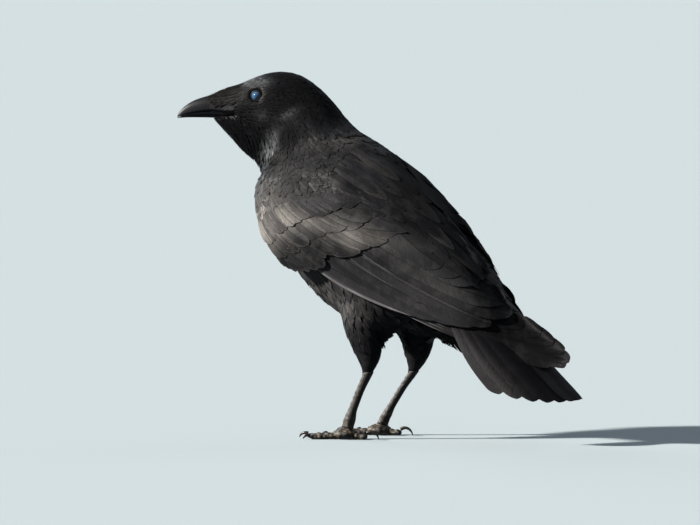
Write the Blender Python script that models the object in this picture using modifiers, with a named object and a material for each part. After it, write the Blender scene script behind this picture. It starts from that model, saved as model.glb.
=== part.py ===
"""Carrion crow, standing: a still, life-size museum model.

The crow faces -X, with its left side towards -Y, and stands on the floor at z = 0.
Trunk, neck and head are one loft parted by thin cuts. The wings lie over the trunk
and are cut back to clear it, and so are the thighs and the tail.
Sizes are in millimetres until MM turns them into metres.
"""

import math

import bmesh
import bpy
from mathutils import Matrix, Vector

MM = 0.001
GAP = 0.35                      # clearance left between neighbouring pieces
FLOOR = Vector((0, 0, 0))
DOWN = Vector((0, 0, -1))

# ---- driving dimensions -------------------------------------------------------------
HEAD_TURN = math.radians(20)    # the head looks a little to the bird's left
NECK_PIVOT = Vector((-63, 0, 0))
REAR_SWING = math.tan(math.radians(6))  # wing tips and tail drift to the bird's left
SWING_START = 60                # where along X that drift begins
SWING_EASE = 40                 # how gently it begins
SWING_GAIN = 1.25               # makes up for the slow start

EYE_RADIUS = 6.0
EYE_PLACE = Vector((-100.4, 12.4, 302.6))

TAIL_ROOT = Vector((77.5, 1, 160.4))
TAIL_LENGTH = 185               # from the hidden root to the tip of the middle feathers
TAIL_PITCH = math.radians(41)
TAIL_SWING = math.radians(10)   # towards the bird's left
TAIL_ROLL = math.radians(3)     # the left side hangs a little lower
TAIL_ARCH_RADIUS = 48           # the tail arches down to both sides like a barrel roof
TAIL_ROOT_HALF_WIDTH = 12       # half-widths are measured round the arch
TAIL_HALF_WIDTH = 54
TAIL_SPREAD_OVER = 130          # how far from the root it reaches its full width
TAIL_ROUNDING = 0.25            # how much shorter the outermost feathers are
TAIL_CORNER = 2.3               # a higher power leaves more of the tail's end square
TAIL_FEATHERS = 12
TAIL_SCALLOP = 3.5              # how far the feather tips stand out between notches
TAIL_TIP_BLUNTNESS = 0.5        # a lower power makes each tip blunter and its notch narrower
TAIL_THICKNESS = 2.6
UNDER_WING_DEPTH = 30           # deeper than any part of a wing that hangs beside the tail

LEGS = {
    # side: (sign of y, foot, heel, hip), the middle of each joint
    "left": (-1, Vector((-4, -31, 7)), Vector((18, -30, 61)), Vector((11, -29, 112))),
    "right": (1, Vector((1.5, 29, 7)), Vector((36, 28, 59)), Vector((42, 27, 112))),
}
TOES = {
    # toe: (heading out from straight ahead, length, half-width, claw arc radius, claw sweep)
    "1": (180, 16, 3.3, 7.4, 118),
    "2": (-27, 21, 2.9, 5.4, 96),
    "3": (3, 30, 3.0, 5.8, 98),
    "4": (31, 25, 2.7, 5.0, 94),
}
PALM = Vector((10.5, 9.0, 5.2))  # half sizes of the pad where the toes meet
PALM_SINK = 0.6                 # how far its rounded underside is cut off by the floor
PALM_AHEAD = 1.0                # how far in front of the shank's end its middle lies
KNUCKLE_LIFT, KNUCKLE_SWELL = 0.35, 0.07    # joints along a toe: height, share of radius
TOE_TAPER = 0.16
CLAW_BASE, CLAW_TIP = 1.92, 0.3  # radii
CLAW_CLEAR = 0.3                # the least height of a claw over the floor
HALLUX_LEAN, CLAW_LEAN = math.radians(34), math.radians(24)


# ---- scene, collections and materials -----------------------------------------------
for old in list(bpy.data.objects):
    bpy.data.objects.remove(old)


def collection(name):
    made = bpy.data.collections.new(name)
    bpy.context.scene.collection.children.link(made)
    return made


CROW = collection("carrion_crow")
CUTTERS = collection("cutters")
CUTTERS.hide_render = True


def material(name, colour, roughness):
    made = bpy.data.materials.new(name)
    made.use_nodes = True
    shader = made.node_tree.nodes["Principled BSDF"]
    shader.inputs["Base Color"].default_value = (*colour, 1)
    shader.inputs["Roughness"].default_value = roughness
    shader.inputs["Metallic"].default_value = 0
    made.diffuse_color = (*colour, 1)
    return made


PLUMAGE = material("glossy_black_plumage", (0.012, 0.012, 0.015), 0.45)
WING_PLUMAGE = material("brown_black_wing", (0.035, 0.03, 0.028), 0.5)
HORN = material("black_bill_horn", (0.02, 0.02, 0.022), 0.35)
SCALES = material("black_leg_scales", (0.03, 0.027, 0.024), 0.45)
EYE = material("dark_eye", (0.02, 0.03, 0.05), 0.05)


# ---- modelling helpers --------------------------------------------------------------
def mesh_object(name, build, look, where=CROW):
    """An object whose mesh build(bm) makes in millimetres."""
    bm = bmesh.new()
    build(bm)
    bmesh.ops.scale(bm, vec=(MM, MM, MM), verts=bm.verts)
    bmesh.ops.recalc_face_normals(bm, faces=bm.faces)
    mesh = bpy.data.meshes.new(name)
    bm.to_mesh(mesh)
    bm.free()
    mesh.shade_smooth()
    mesh.materials.append(look)
    made = bpy.data.objects.new(name, mesh)
    where.objects.link(made)
    return made


def loft(bm, rings):
    """Bridges a row of equal closed rings and caps both ends."""
    rows = [[bm.verts.new(point) for point in ring] for ring in rings]
    count = len(rows[0])
    for near, far in zip(rows, rows[1:]):
        for i in range(count):
            j = (i + 1) % count
            bm.faces.new((near[i], near[j], far[j], far[i]))
    bm.faces.new(rows[0][::-1])
    bm.faces.new(rows[-1])


def spline(rows, place):
    """Catmull-Rom reading of equal rows of numbers at a fractional row number."""
    last = len(rows) - 1
    first = min(int(place), last - 1)
    t = place - first
    a, b, c, d = (rows[min(max(first + k, 0), last)] for k in (-1, 0, 1, 2))
    return [
        0.5 * (2 * q + (r - p) * t + (2 * p - 5 * q + 4 * r - s) * t**2
               + (3 * q - p - 3 * r + s) * t**3)
        for p, q, r, s in zip(a, b, c, d)
    ]


def between(first, last, steps):
    return [first + (last - first) * k / steps for k in range(steps + 1)]


def swing(point):
    """Bends what lies behind SWING_START towards the bird's left."""
    behind = max(0.0, point.x - SWING_START)
    drift = REAR_SWING * SWING_GAIN * behind * behind / (behind + SWING_EASE)
    return Vector((point.x, point.y - drift, point.z))


def as_cutter(shape, clearance=GAP):
    """Sets a shape as a cutter, grown by the clearance along its normals."""
    shape.hide_render = True
    shape.display_type = "WIRE"
    swell = shape.modifiers.new("clearance", "DISPLACE")
    swell.strength = clearance * MM
    swell.mid_level = 0
    return shape


def grown(piece):
    """A cutter: a copy of the piece, grown by the gap."""
    copy = bpy.data.objects.new(piece.name + "_grown", piece.data.copy())
    CUTTERS.objects.link(copy)
    return as_cutter(copy)


def cut(piece, *cutters):
    for cutter in cutters:
        trim = piece.modifiers.new("clear_of_" + cutter.name, "BOOLEAN")
        trim.operation = "DIFFERENCE"
        trim.object = cutter


def keep_side(bm, point, normal):
    """Cuts a mesh with a plane, keeps what lies behind it and caps the cut."""
    geometry = bm.verts[:] + bm.edges[:] + bm.faces[:]
    done = bmesh.ops.bisect_plane(
        bm, geom=geometry, plane_co=point, plane_no=normal, clear_outer=True
    )
    rim = [e for e in done["geom_cut"] if isinstance(e, bmesh.types.BMEdge)]
    bmesh.ops.contextual_create(bm, geom=rim)


# ---- head, neck and trunk -----------------------------------------------------------
# Each station is a flat ring from a point on the back line to one on the belly line:
# back x, back z, belly x, belly z, half-width, widest place from the back, head turn.
BODY = (
    (-142.5, 303.5, -141.5, 282.3, 7.8, 0.6, 1.0),      # feather edge on the bill
    (-131.0, 308.5, -133.8, 274.0, 10.8, 0.56, 1.0),
    (-119.0, 312.5, -124.6, 264.2, 14.6, 0.5, 1.0),     # forehead and chin
    (-105.0, 318.6, -115.8, 254.2, 17.6, 0.45, 1.0),
    (-91.0, 323.2, -108.2, 247.8, 20.2, 0.44, 1.0),     # eye and throat
    (-77.0, 324.3, -102.0, 243.6, 22.4, 0.46, 1.0),     # crown
    (-61.0, 320.3, -98.5, 238.5, 25.0, 0.48, 0.85),
    (-46.0, 310.0, -96.5, 229.5, 28.5, 0.5, 0.62),      # nape
    (-32.5, 297.0, -98.0, 217.0, 33.0, 0.52, 0.36),
    (-21.0, 283.5, -99.0, 203.5, 38.0, 0.52, 0.16),
    (-7.5, 272.0, -96.5, 189.0, 43.5, 0.5, 0.04),       # foot of the neck
    (10.5, 263.0, -89.5, 174.0, 48.0, 0.5, 0),
    (30.5, 249.5, -78.0, 160.0, 50.5, 0.5, 0),          # breast
    (50.0, 229.5, -63.0, 146.5, 51.0, 0.5, 0),
    (71.5, 208.0, -48.0, 129.5, 49.5, 0.5, 0),
    (90.0, 185.5, -30.0, 114.5, 46.0, 0.5, 0),          # belly
    (106.0, 163.0, -7.0, 104.0, 40.5, 0.5, 0),
    (118.0, 142.0, 17.0, 99.5, 33.5, 0.5, 0),
    (127.0, 123.5, 40.0, 96.5, 27.0, 0.5, 0),           # rump and vent
    (134.0, 109.5, 62.0, 93.5, 21.0, 0.5, 0),
    (138.0, 99.0, 82.0, 88.0, 15.0, 0.5, 0),
    (140.0, 89.0, 100.0, 78.0, 8.0, 0.5, 0),            # tips of the tail coverts
)
RING_POINTS = 22
HEAD_END, NECK_END = 6.5, 10.0      # station numbers of the two thin cuts
CUT_GAP = 0.035                     # half a cut, in stations


def turned(point, share):
    turn = Matrix.Rotation(HEAD_TURN * share, 4, "Z")
    return turn @ (point - NECK_PIVOT) + NECK_PIVOT


def body_ring(place):
    back_x, back_z, belly_x, belly_z, half_width, widest, turn = spline(BODY, place)
    back = Vector((back_x, 0, back_z))
    belly = Vector((belly_x, 0, belly_z))
    middle = back.lerp(belly, widest)
    ring = []
    for i in range(RING_POINTS):
        angle = 2 * math.pi * i / RING_POINTS
        rise = math.cos(angle)
        point = middle.lerp(back if rise > 0 else belly, abs(rise))
        point.y = half_width * math.sin(angle)
        ring.append(turned(point, min(max(turn, 0), 1)))
    return ring


def body_part(name, first, last, steps):
    rings = [body_ring(place) for place in between(first, last, steps)]
    return mesh_object(name, lambda bm: loft(bm, rings), PLUMAGE)


head = body_part("head", 0, HEAD_END - CUT_GAP, 12)
neck = body_part("neck", HEAD_END + CUT_GAP, NECK_END - CUT_GAP, 6)
trunk = body_part("trunk", NECK_END + CUT_GAP, len(BODY) - 1, 18)
grown_trunk = grown(trunk)
grown_neck = grown(neck)


# ---- bill ---------------------------------------------------------------------------
# Stations from the feather edge to the tip: x, culmen z, gape z, chin z, half-width.
BILL = (
    (-143.0, 303.0, 289.4, 282.7, 7.4),
    (-149.5, 301.4, 288.6, 282.7, 6.5),
    (-156.5, 299.0, 287.6, 282.9, 5.2),
    (-163.5, 295.6, 286.4, 283.1, 3.8),
    (-169.5, 291.2, 285.2, 283.4, 2.4),
    (-173.2, 286.4, 284.4, 283.7, 1.0),
)
BILL_SLIT = 0.35


def bill_half(name, upper):
    """Upper or lower half of the bill, flat where the two meet."""
    points = 7
    rings = []
    for place in between(0, len(BILL) - 1, 10):
        x, culmen, gape, chin, half_width = spline(BILL, place)
        slit = BILL_SLIT / 2 if upper else -BILL_SLIT / 2
        outer = culmen if upper else min(chin, gape - 0.5)
        arch = []
        for i in range(points):
            angle = math.pi * i / (points - 1)
            rise = math.sin(angle) ** 0.85
            side = half_width * (1 if upper else 0.88)
            height = gape + slit + (outer - gape - slit) * rise
            arch.append(turned(Vector((x, side * math.cos(angle), height)), 1))
        rings.append(arch)
    return mesh_object(name, lambda bm: loft(bm, rings), HORN)


bill_half("bill_upper", True)
bill_half("bill_lower", False)


# ---- eyes ---------------------------------------------------------------------------
def eyeball(name, side):
    place = turned(Vector((EYE_PLACE.x, side * EYE_PLACE.y, EYE_PLACE.z)), 1)

    def build(bm):
        bmesh.ops.create_uvsphere(bm, u_segments=14, v_segments=9, radius=EYE_RADIUS)
        facing = Matrix.Rotation(HEAD_TURN, 4, "Z") @ Matrix.Rotation(math.pi / 2, 4, "X")
        bmesh.ops.transform(bm, matrix=Matrix.Translation(place) @ facing, verts=bm.verts)

    return mesh_object(name, build, EYE)


for side_name, side in (("left", -1), ("right", 1)):
    cut(head, grown(eyeball("eye_" + side_name, side)))


# ---- tail ---------------------------------------------------------------------------
def tail_axes():
    """Directions down the tail, towards its right edge and out of its upper side."""
    swung = Matrix.Rotation(-TAIL_SWING, 3, "Z")
    down_tail = swung @ Vector((math.cos(TAIL_PITCH), 0, -math.sin(TAIL_PITCH)))
    roll = Matrix.Rotation(TAIL_ROLL, 3, down_tail)
    right = roll @ swung @ Vector((0, 1, 0))
    return down_tail, right, down_tail.cross(right)


def tail_point(across, along):
    """A point of the upper side: across from -1, the outer left edge, to 1."""
    down_tail, right, up = tail_axes()
    notch = 1 - abs(math.cos(math.pi * TAIL_FEATHERS / 2 * across)) ** TAIL_TIP_BLUNTNESS
    reach = TAIL_LENGTH * (1 - TAIL_ROUNDING * abs(across) ** TAIL_CORNER)
    reach -= TAIL_SCALLOP * notch
    distance = reach * along
    spread = math.sin(math.pi / 2 * min(1, distance / TAIL_SPREAD_OVER))
    half = TAIL_ROOT_HALF_WIDTH + (TAIL_HALF_WIDTH - TAIL_ROOT_HALF_WIDTH) * spread
    angle = across * half / TAIL_ARCH_RADIUS
    out = right * math.sin(angle) - up * (1 - math.cos(angle))
    return TAIL_ROOT + down_tail * distance + out * TAIL_ARCH_RADIUS


def build_tail(bm):
    columns, rows = 2 * TAIL_FEATHERS, 5
    grid = [
        [bm.verts.new(tail_point(across, along)) for along in between(0, 1, rows)]
        for across in between(-1, 1, columns)
    ]
    for a, b in zip(grid, grid[1:]):
        for k in range(rows):
            bm.faces.new((a[k], a[k + 1], b[k + 1], b[k]))


def tail_slab(name, thickness, where):
    slab = mesh_object(name, build_tail, PLUMAGE, where)
    stack = slab.modifiers.new("feather_stack", "SOLIDIFY")
    stack.thickness = thickness * MM
    stack.offset = -1
    return slab


tail = tail_slab("tail", TAIL_THICKNESS, CROW)
cut(tail, grown_trunk)

# The wings lie on the tail: a deep copy of it trims them from below.
under_wings = as_cutter(tail_slab("tail_clearance", UNDER_WING_DEPTH, CUTTERS), 2 * GAP)


# ---- wings --------------------------------------------------------------------------
# Stations of the folded wing from the bend to the tip: lower edge x and z, upper edge
# x and z, then how far out its lower edge, middle and upper edge lie, and its thickness.
WING = (
    (-91.0, 198.5, -92.0, 221.0, 33.0, 37.0, 34.0, 7.5),      # bend of the wing
    (-80.5, 176.0, -84.5, 235.0, 39.0, 48.0, 40.0, 13.0),
    (-59.5, 153.0, -62.0, 245.0, 44.0, 57.0, 43.0, 16.0),
    (-29.0, 147.0, -30.0, 252.0, 47.5, 61.0, 42.0, 16.0),
    (4.0, 138.0, 6.0, 251.0, 48.0, 61.0, 34.0, 15.0),
    (36.0, 129.0, 39.5, 238.5, 47.0, 57.0, 23.0, 13.0),
    (66.0, 121.0, 71.0, 213.5, 44.0, 50.0, 15.0, 11.0),
    (92.0, 114.0, 98.5, 186.5, 40.0, 43.0, 10.0, 8.5),
    (115.0, 107.0, 120.0, 160.0, 35.0, 36.0, 7.0, 6.5),
    (137.0, 99.5, 136.5, 136.0, 27.0, 27.0, 4.6, 5.0),        # tertial tips
    (159.0, 90.5, 154.0, 115.5, 17.0, 17.5, 3.4, 4.2),
    (180.0, 80.5, 174.5, 101.5, 11.0, 11.5, 3.8, 3.6),
    (198.0, 71.5, 194.0, 90.0, 7.0, 7.4, 4.0, 3.0),
    (205.0, 73.5, 206.0, 83.0, 4.6, 4.8, 4.4, 2.0),           # wing tip
)
WING_POINTS = 8


def wing_ring(side, place):
    low_x, low_z, high_x, high_z, low_y, middle_y, high_y, thick = spline(WING, place)
    low = Vector((low_x, low_y, low_z))
    high = Vector((high_x, high_y, high_z))
    belly = (low + high) / 2
    belly.y = 2 * middle_y - belly.y
    axis = (high - low).normalized()
    outer, inner = [], []
    for k in range(WING_POINTS):
        t = k / (WING_POINTS - 1)
        point = low * (1 - t) ** 2 + belly * 2 * t * (1 - t) + high * t * t
        slope = (belly - low) * 2 * (1 - t) + (high - belly) * 2 * t
        inward = Vector((0, -1, 0)) + axis * slope.normalized().y
        inward = (inward - slope.normalized() * inward.dot(slope.normalized())).normalized()
        depth = thick * (0.3 + 0.7 * math.sin(math.pi * t) ** 0.7)
        outer.append(point)
        inner.append(point + inward * depth)
    ring = outer + inner[::-1]
    return [swing(Vector((p.x, side * p.y, p.z))) for p in ring]


def wing_whole(side, name, planes):
    """The folded wing, parted by planes: each keeps what lies behind it."""
    rings = [wing_ring(side, place) for place in between(0, len(WING) - 1, 20)]

    def build(bm):
        loft(bm, rings)
        for point, normal in planes:
            keep_side(bm, Vector(point), Vector(normal).normalized())

    piece = mesh_object(name, build, WING_PLUMAGE)
    cut(piece, grown_trunk, grown_neck, under_wings)
    return piece


COVERT_LINE = (Vector((2, 0, 152)), Vector((1, 0, -0.22)))       # greater covert tips
PRIMARY_LINE = (Vector((88, 0, 116)), Vector((-0.1, 0, -1)))     # under the tertials


def shifted(plane, flip=1):
    point, normal = plane
    return point + normal.normalized() * flip * GAP / -2, normal * flip


for side_name, side in (("left", -1), ("right", 1)):
    wing_whole(side, f"wing_{side_name}_arm", [shifted(COVERT_LINE)])
    wing_whole(side, f"wing_{side_name}_secondaries",
               [shifted(COVERT_LINE, -1), shifted(PRIMARY_LINE)])
    wing_whole(side, f"wing_{side_name}_primaries",
               [shifted(COVERT_LINE, -1), shifted(PRIMARY_LINE, -1)])


# ---- legs and feet ------------------------------------------------------------------
def limb(rows, points):
    """Rings along a limb from rows of x, y, z, half-depth fore and aft, half-width."""
    rings = []
    for x, y, z, deep, wide in rows:
        ring = [
            Vector((x + deep * math.cos(a), y + wide * math.sin(a), z))
            for a in between(0, 2 * math.pi, points)[:-1]
        ]
        rings.append(ring)
    return rings


def thigh(side_name):
    _, _, heel, hip = LEGS[side_name]
    # share of the way from heel to hip, half-depth, half-width, push backwards
    shape = (
        (0.0, 4.6, 4.3, -0.4),
        (0.09, 7.2, 6.6, 0.4),
        (0.2, 9.8, 8.8, 1.2),
        (0.36, 13.0, 11.2, 1.0),
        (0.56, 15.6, 13.0, 0),
        (0.78, 18.0, 14.5, -1),
        (1.0, 20.0, 15.0, -2),
    )
    rows = []
    for place in between(0, len(shape) - 1, 8):
        share, deep, wide, back = spline(shape, place)
        middle = heel.lerp(hip, share)
        rows.append((middle.x + back, middle.y, middle.z, deep, wide))
    piece = mesh_object(
        "thigh_" + side_name, lambda bm: loft(bm, limb(rows, 14)), PLUMAGE
    )
    cut(piece, grown_trunk)
    return piece


def tarsus(side_name):
    """The bare shank with the palm of the foot, which stands on a small flat."""
    _, foot, heel, _ = LEGS[side_name]
    shape = (
        (0.0, 4.6, 4.4), (0.12, 4.1, 3.7), (0.3, 3.5, 2.8), (0.6, 3.4, 2.7),
        (0.85, 4.0, 3.1), (1.0, 4.4, 3.6),
    )
    start = heel.lerp(foot, 0.012)
    rows = []
    for place in between(0, len(shape) - 1, 8):
        share, deep, wide = spline(shape, place)
        middle = start.lerp(foot, share)
        rows.append((*middle, deep, wide))
    shank = mesh_object(
        "tarsus_" + side_name, lambda bm: loft(bm, limb(rows, 10)), SCALES
    )

    def build_palm(bm):
        bmesh.ops.create_uvsphere(bm, u_segments=14, v_segments=8, radius=1)
        stretch = Matrix.Diagonal((*PALM, 1))
        centre = Matrix.Translation((foot.x - PALM_AHEAD, foot.y, PALM.z - PALM_SINK))
        bmesh.ops.transform(bm, matrix=centre @ stretch, verts=bm.verts)
        keep_side(bm, FLOOR, DOWN)

    palm = mesh_object("palm_" + side_name, build_palm, SCALES, CUTTERS)
    palm.hide_render = True
    palm.display_type = "WIRE"
    weld = shank.modifiers.new("palm", "BOOLEAN")
    weld.operation = "UNION"
    weld.object = palm
    return palm


def along_path(path, radii, points):
    """Rings across a path that stays in one upright plane."""
    rings = []
    for k, (point, radius) in enumerate(zip(path, radii)):
        ahead = path[min(k + 1, len(path) - 1)] - path[max(k - 1, 0)]
        ahead.normalize()
        side = ahead.cross(Vector((0, 0, 1))).normalized()
        up = side.cross(ahead).normalized()
        rings.append([
            point + side * radius * math.cos(a) + up * radius * math.sin(a)
            for a in between(0, 2 * math.pi, points)[:-1]
        ])
    return rings


def toe_and_claw(side_name, number, neighbours):
    sign, foot, _, _ = LEGS[side_name]
    heading, length, half_width, arc, sweep = TOES[number]
    angle = math.radians(heading) * sign
    ahead = Vector((-math.cos(angle), math.sin(angle), 0))
    base = Vector((foot.x - PALM_AHEAD, foot.y, 0)) + ahead * PALM.z
    joints = 3 if number == "1" else 4
    path, radii = [], []
    for t in between(0, 1, 9):
        knuckle = math.cos(2 * math.pi * joints * t * 0.75)
        lift = half_width * 0.72 + 1.6 * (1 - t) ** 3 + KNUCKLE_LIFT * knuckle
        path.append(base + ahead * length * t + Vector((0, 0, lift)))
        radii.append(half_width * (1 - TOE_TAPER * t) * (1 + KNUCKLE_SWELL * knuckle))
    radii[-1] *= 0.72       # rounded end

    def build_toe(bm):
        loft(bm, along_path(path, radii, 8))
        keep_side(bm, FLOOR, DOWN)

    toe = mesh_object(f"toe_{side_name}_{number}", build_toe, SCALES)
    cut(toe, *neighbours)

    start = path[-1] + ahead * (GAP + 0.05)
    lean = HALLUX_LEAN if number == "1" else CLAW_LEAN
    claw_path, claw_radii = [], []
    for t in between(0, 1, 7):
        turn = lean - math.radians(sweep) * t
        rise = (math.cos(turn) - math.cos(lean)) * arc
        run = (math.sin(lean) - math.sin(turn)) * arc
        claw_path.append(start + ahead * run + Vector((0, 0, rise)))
        claw_radii.append((CLAW_BASE - CLAW_TIP) * (1 - t) ** 0.75 + CLAW_TIP)
    lowest = min(p.z - r for p, r in zip(claw_path, claw_radii))
    climb = max(0.0, CLAW_CLEAR - lowest)
    claw_path = [p + Vector((0, 0, climb)) for p in claw_path]
    mesh_object(
        f"claw_{side_name}_{number}",
        lambda bm: loft(bm, along_path(claw_path, claw_radii, 6)),
        HORN,
    )
    return toe


for side_name in LEGS:
    thigh(side_name)
    neighbours = [grown(tarsus(side_name))]
    for number in TOES:
        neighbours.append(grown(toe_and_claw(side_name, number, neighbours)))


# ---- origin: on the floor, under the middle of the whole crow -----------------------
bpy.context.view_layer.update()
graph = bpy.context.evaluated_depsgraph_get()
corners = [
    Vector(corner) for piece in CROW.objects for corner in piece.evaluated_get(graph).bound_box
]
lowest = Vector([min(corner[axis] for corner in corners) for axis in range(3)])
highest = Vector([max(corner[axis] for corner in corners) for axis in range(3)])
origin = Vector(((lowest.x + highest.x) / 2, (lowest.y + highest.y) / 2, lowest.z))
for shape in list(CROW.objects) + list(CUTTERS.objects):
    shape.location -= origin
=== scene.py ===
"""Carrion crow, standing: the looks of the still, life-size model.

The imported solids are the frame: they hold the outline out to the feather tips. Here one
skin takes the place of the flesh, feathers are laid over it tract by tract in the order in
which they overlap on the bird, and the bill, eyes, legs and claws get their own shapes.
Places are worked out from the frame in millimetres, and MM turns them into metres.
"""

import math
from collections import namedtuple
from itertools import product

import bmesh
import bpy
import numpy as np
from mathutils import Matrix, Vector
from mathutils.bvhtree import BVHTree


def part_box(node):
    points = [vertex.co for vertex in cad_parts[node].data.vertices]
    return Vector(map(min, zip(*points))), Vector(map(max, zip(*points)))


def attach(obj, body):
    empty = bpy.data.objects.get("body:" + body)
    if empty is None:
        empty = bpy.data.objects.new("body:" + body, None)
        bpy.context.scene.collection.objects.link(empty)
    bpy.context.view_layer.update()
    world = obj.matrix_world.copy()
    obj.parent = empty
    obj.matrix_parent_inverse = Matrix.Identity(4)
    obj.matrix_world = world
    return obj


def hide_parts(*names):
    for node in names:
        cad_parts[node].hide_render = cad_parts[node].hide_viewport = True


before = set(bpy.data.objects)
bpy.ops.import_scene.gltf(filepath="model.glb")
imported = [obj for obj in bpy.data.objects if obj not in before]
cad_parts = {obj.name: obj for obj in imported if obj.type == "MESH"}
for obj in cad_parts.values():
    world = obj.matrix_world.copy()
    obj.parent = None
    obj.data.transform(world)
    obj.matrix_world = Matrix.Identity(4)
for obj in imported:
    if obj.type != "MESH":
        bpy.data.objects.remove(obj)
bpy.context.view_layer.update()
MM = 0.001


# ---- camera -------------------------------------------------------------------------
# A long lens, far off, looks at the crow's left side from a little behind it and from
# just above its feet.
TARGET = Vector((-38.9, 0, 155)) * MM
AZIMUTH, ELEVATION = math.radians(25), math.radians(3)
DISTANCE = 8.0
FIELD_WIDTH = 0.622             # what the frame spans at the target

eye_dir = Vector((
    math.sin(AZIMUTH) * math.cos(ELEVATION),
    -math.cos(AZIMUTH) * math.cos(ELEVATION),
    math.sin(ELEVATION),
))
camera_data = bpy.data.cameras.new("camera")
camera_data.lens = camera_data.sensor_width * DISTANCE / FIELD_WIDTH
camera_data.clip_end = 100
camera = bpy.data.objects.new("camera", camera_data)
bpy.context.scene.collection.objects.link(camera)
camera.location = TARGET + eye_dir * DISTANCE
camera.rotation_euler = (-eye_dir).to_track_quat("-Z", "Y").to_euler()
bpy.context.scene.camera = camera


# ---- floor and light ----------------------------------------------------------------
# A pale floor that runs out of sight, a hazy sky all round, and a low sun in front of
# the crow on its left, softened as by a large window.
LAMPS = (
    # name, towards, energy, spread in degrees, colour
    ("sun", (-0.74, -0.52, 0.52), 9.0, 4, (1, 0.95, 0.88)),
    ("rim", (0.35, 1.0, 0.9), 0.22, 35, (0.85, 0.93, 1)),
    ("fill", (-1.0, 0.5, 0.4), 1.3, 40, (0.82, 0.9, 1)),
)
FLOOR_COLOUR = (0.387, 0.446, 0.478, 1)
HAZE_COLOUR, HAZE_STRENGTH = (0.74, 0.83, 0.90, 1), 0.16


def new_finish(name, **constants):
    """A new material and its shader, with these sockets set, a _ standing for a space."""
    made = bpy.data.materials.new(name)
    made.use_nodes = True
    shader = made.node_tree.nodes["Principled BSDF"]
    for label, value in constants.items():
        shader.inputs[label.replace("_", " ")].default_value = value
    return made, shader


bpy.ops.object.select_all(action="DESELECT")
bpy.ops.mesh.primitive_plane_add(size=60, location=(0, 0, 0))
floor = bpy.context.object
floor.name = "floor"
floor.data.materials.append(new_finish(
    "pale_floor", Base_Color=FLOOR_COLOUR, Roughness=0.95, Specular_IOR_Level=0.1
)[0])
floor.visible_diffuse = False
floor.visible_glossy = False

world = bpy.data.worlds.new("haze")
bpy.context.scene.world = world
world.use_nodes = True
world.node_tree.nodes["Background"].inputs["Color"].default_value = HAZE_COLOUR
world.node_tree.nodes["Background"].inputs["Strength"].default_value = HAZE_STRENGTH
bpy.context.scene.view_settings.view_transform = "Standard"

for name, towards, energy, spread, colour in LAMPS:
    light = bpy.data.lights.new(name, "SUN")
    light.energy = energy
    light.color = colour
    light.angle = math.radians(spread)
    lamp = bpy.data.objects.new(name, light)
    bpy.context.scene.collection.objects.link(lamp)
    lamp.location = Vector((0, 0, 0.17)) + Vector(towards).normalized() * 2.2
    lamp.rotation_euler = Vector(towards).to_track_quat("Z", "Y").to_euler()


# ---- plumage finish -----------------------------------------------------------------
# Feathers are black keratin with a steely gloss. Each vane carries its own map, in
# centimetres from the shaft and from the root, which the barbs follow.
class Wiring:
    """Adds nodes to a tree and joins them in one call each."""

    def __init__(self, tree):
        self.tree = tree

    def node(self, kind, **settings):
        made = self.tree.nodes.new(kind)
        for key, value in settings.items():
            setattr(made, key, value)
        return made

    def put(self, socket, value):
        if isinstance(value, bpy.types.NodeSocket):
            self.tree.links.new(value, socket)
        else:
            socket.default_value = value

    def math(self, operation, *values, clamp=False):
        made = self.node("ShaderNodeMath", operation=operation, use_clamp=clamp)
        for socket, value in zip(made.inputs, values):
            self.put(socket, value)
        return made.outputs[0]

    def times(self, first, second):
        return self.math("MULTIPLY", first, second)

    def plus(self, first, second, clamp=False):
        return self.math("ADD", first, second, clamp=clamp)

    def rest(self, share):
        return self.math("SUBTRACT", 1.0, share, clamp=True)

    def blend(self, share, first, second):
        made = self.node("ShaderNodeMix", data_type="RGBA")
        self.put(made.inputs["Factor"], share)
        for label, colour in (("A", first), ("B", second)):
            self.put(made.inputs[label], (*colour, 1) if isinstance(colour, tuple) else colour)
        return made.outputs["Result"]

    def noise(self, vector, scale, detail=3.0, rough=0.5):
        made = self.node("ShaderNodeTexNoise")
        self.put(made.inputs["Vector"], vector)
        for label, value in (("Scale", scale), ("Detail", detail), ("Roughness", rough)):
            made.inputs[label].default_value = value
        return made.outputs["Fac"]

    def ramp(self, value, low, high):
        made = self.node("ShaderNodeMapRange", clamp=True)
        self.put(made.inputs["Value"], value)
        made.inputs["From Min"].default_value = low
        made.inputs["From Max"].default_value = high
        return made.outputs["Result"]

    def place(self):
        return self.node("ShaderNodeTexCoord").outputs["Object"]

    def mark(self, name):
        """What a piece's points say under this name."""
        return self.node("ShaderNodeAttribute", attribute_name=name).outputs["Fac"]

    def parts(self, vector):
        made = self.node("ShaderNodeSeparateXYZ")
        self.put(made.inputs[0], vector)
        return made.outputs

    def relief(self, shader, height, strength, distance):
        made = self.node("ShaderNodeBump")
        made.inputs["Strength"].default_value = strength
        made.inputs["Distance"].default_value = distance
        self.put(made.inputs["Height"], height)
        self.put(shader.inputs["Normal"], made.outputs["Normal"])


BARB_PITCH, BARB_SLANT = 0.055, 1.35    # in the vane's own centimetres
RIB_HEIGHT, SPLIT_HEIGHT = 0.16, 0.5
SPLIT_GRAIN = 9.0
SHAFT_HALF = (0.03, 0.07)               # where the shaft's dark line starts and ends to fade
BARB_DEPTH = 0.0004
BLOTCH_GRAIN, RIM_GRAIN, SHINE_GRAIN = 62, 42, 32
RIM_START, RIM_END = 0.84, 0.98         # shares of the way from the shaft to the edge


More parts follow.
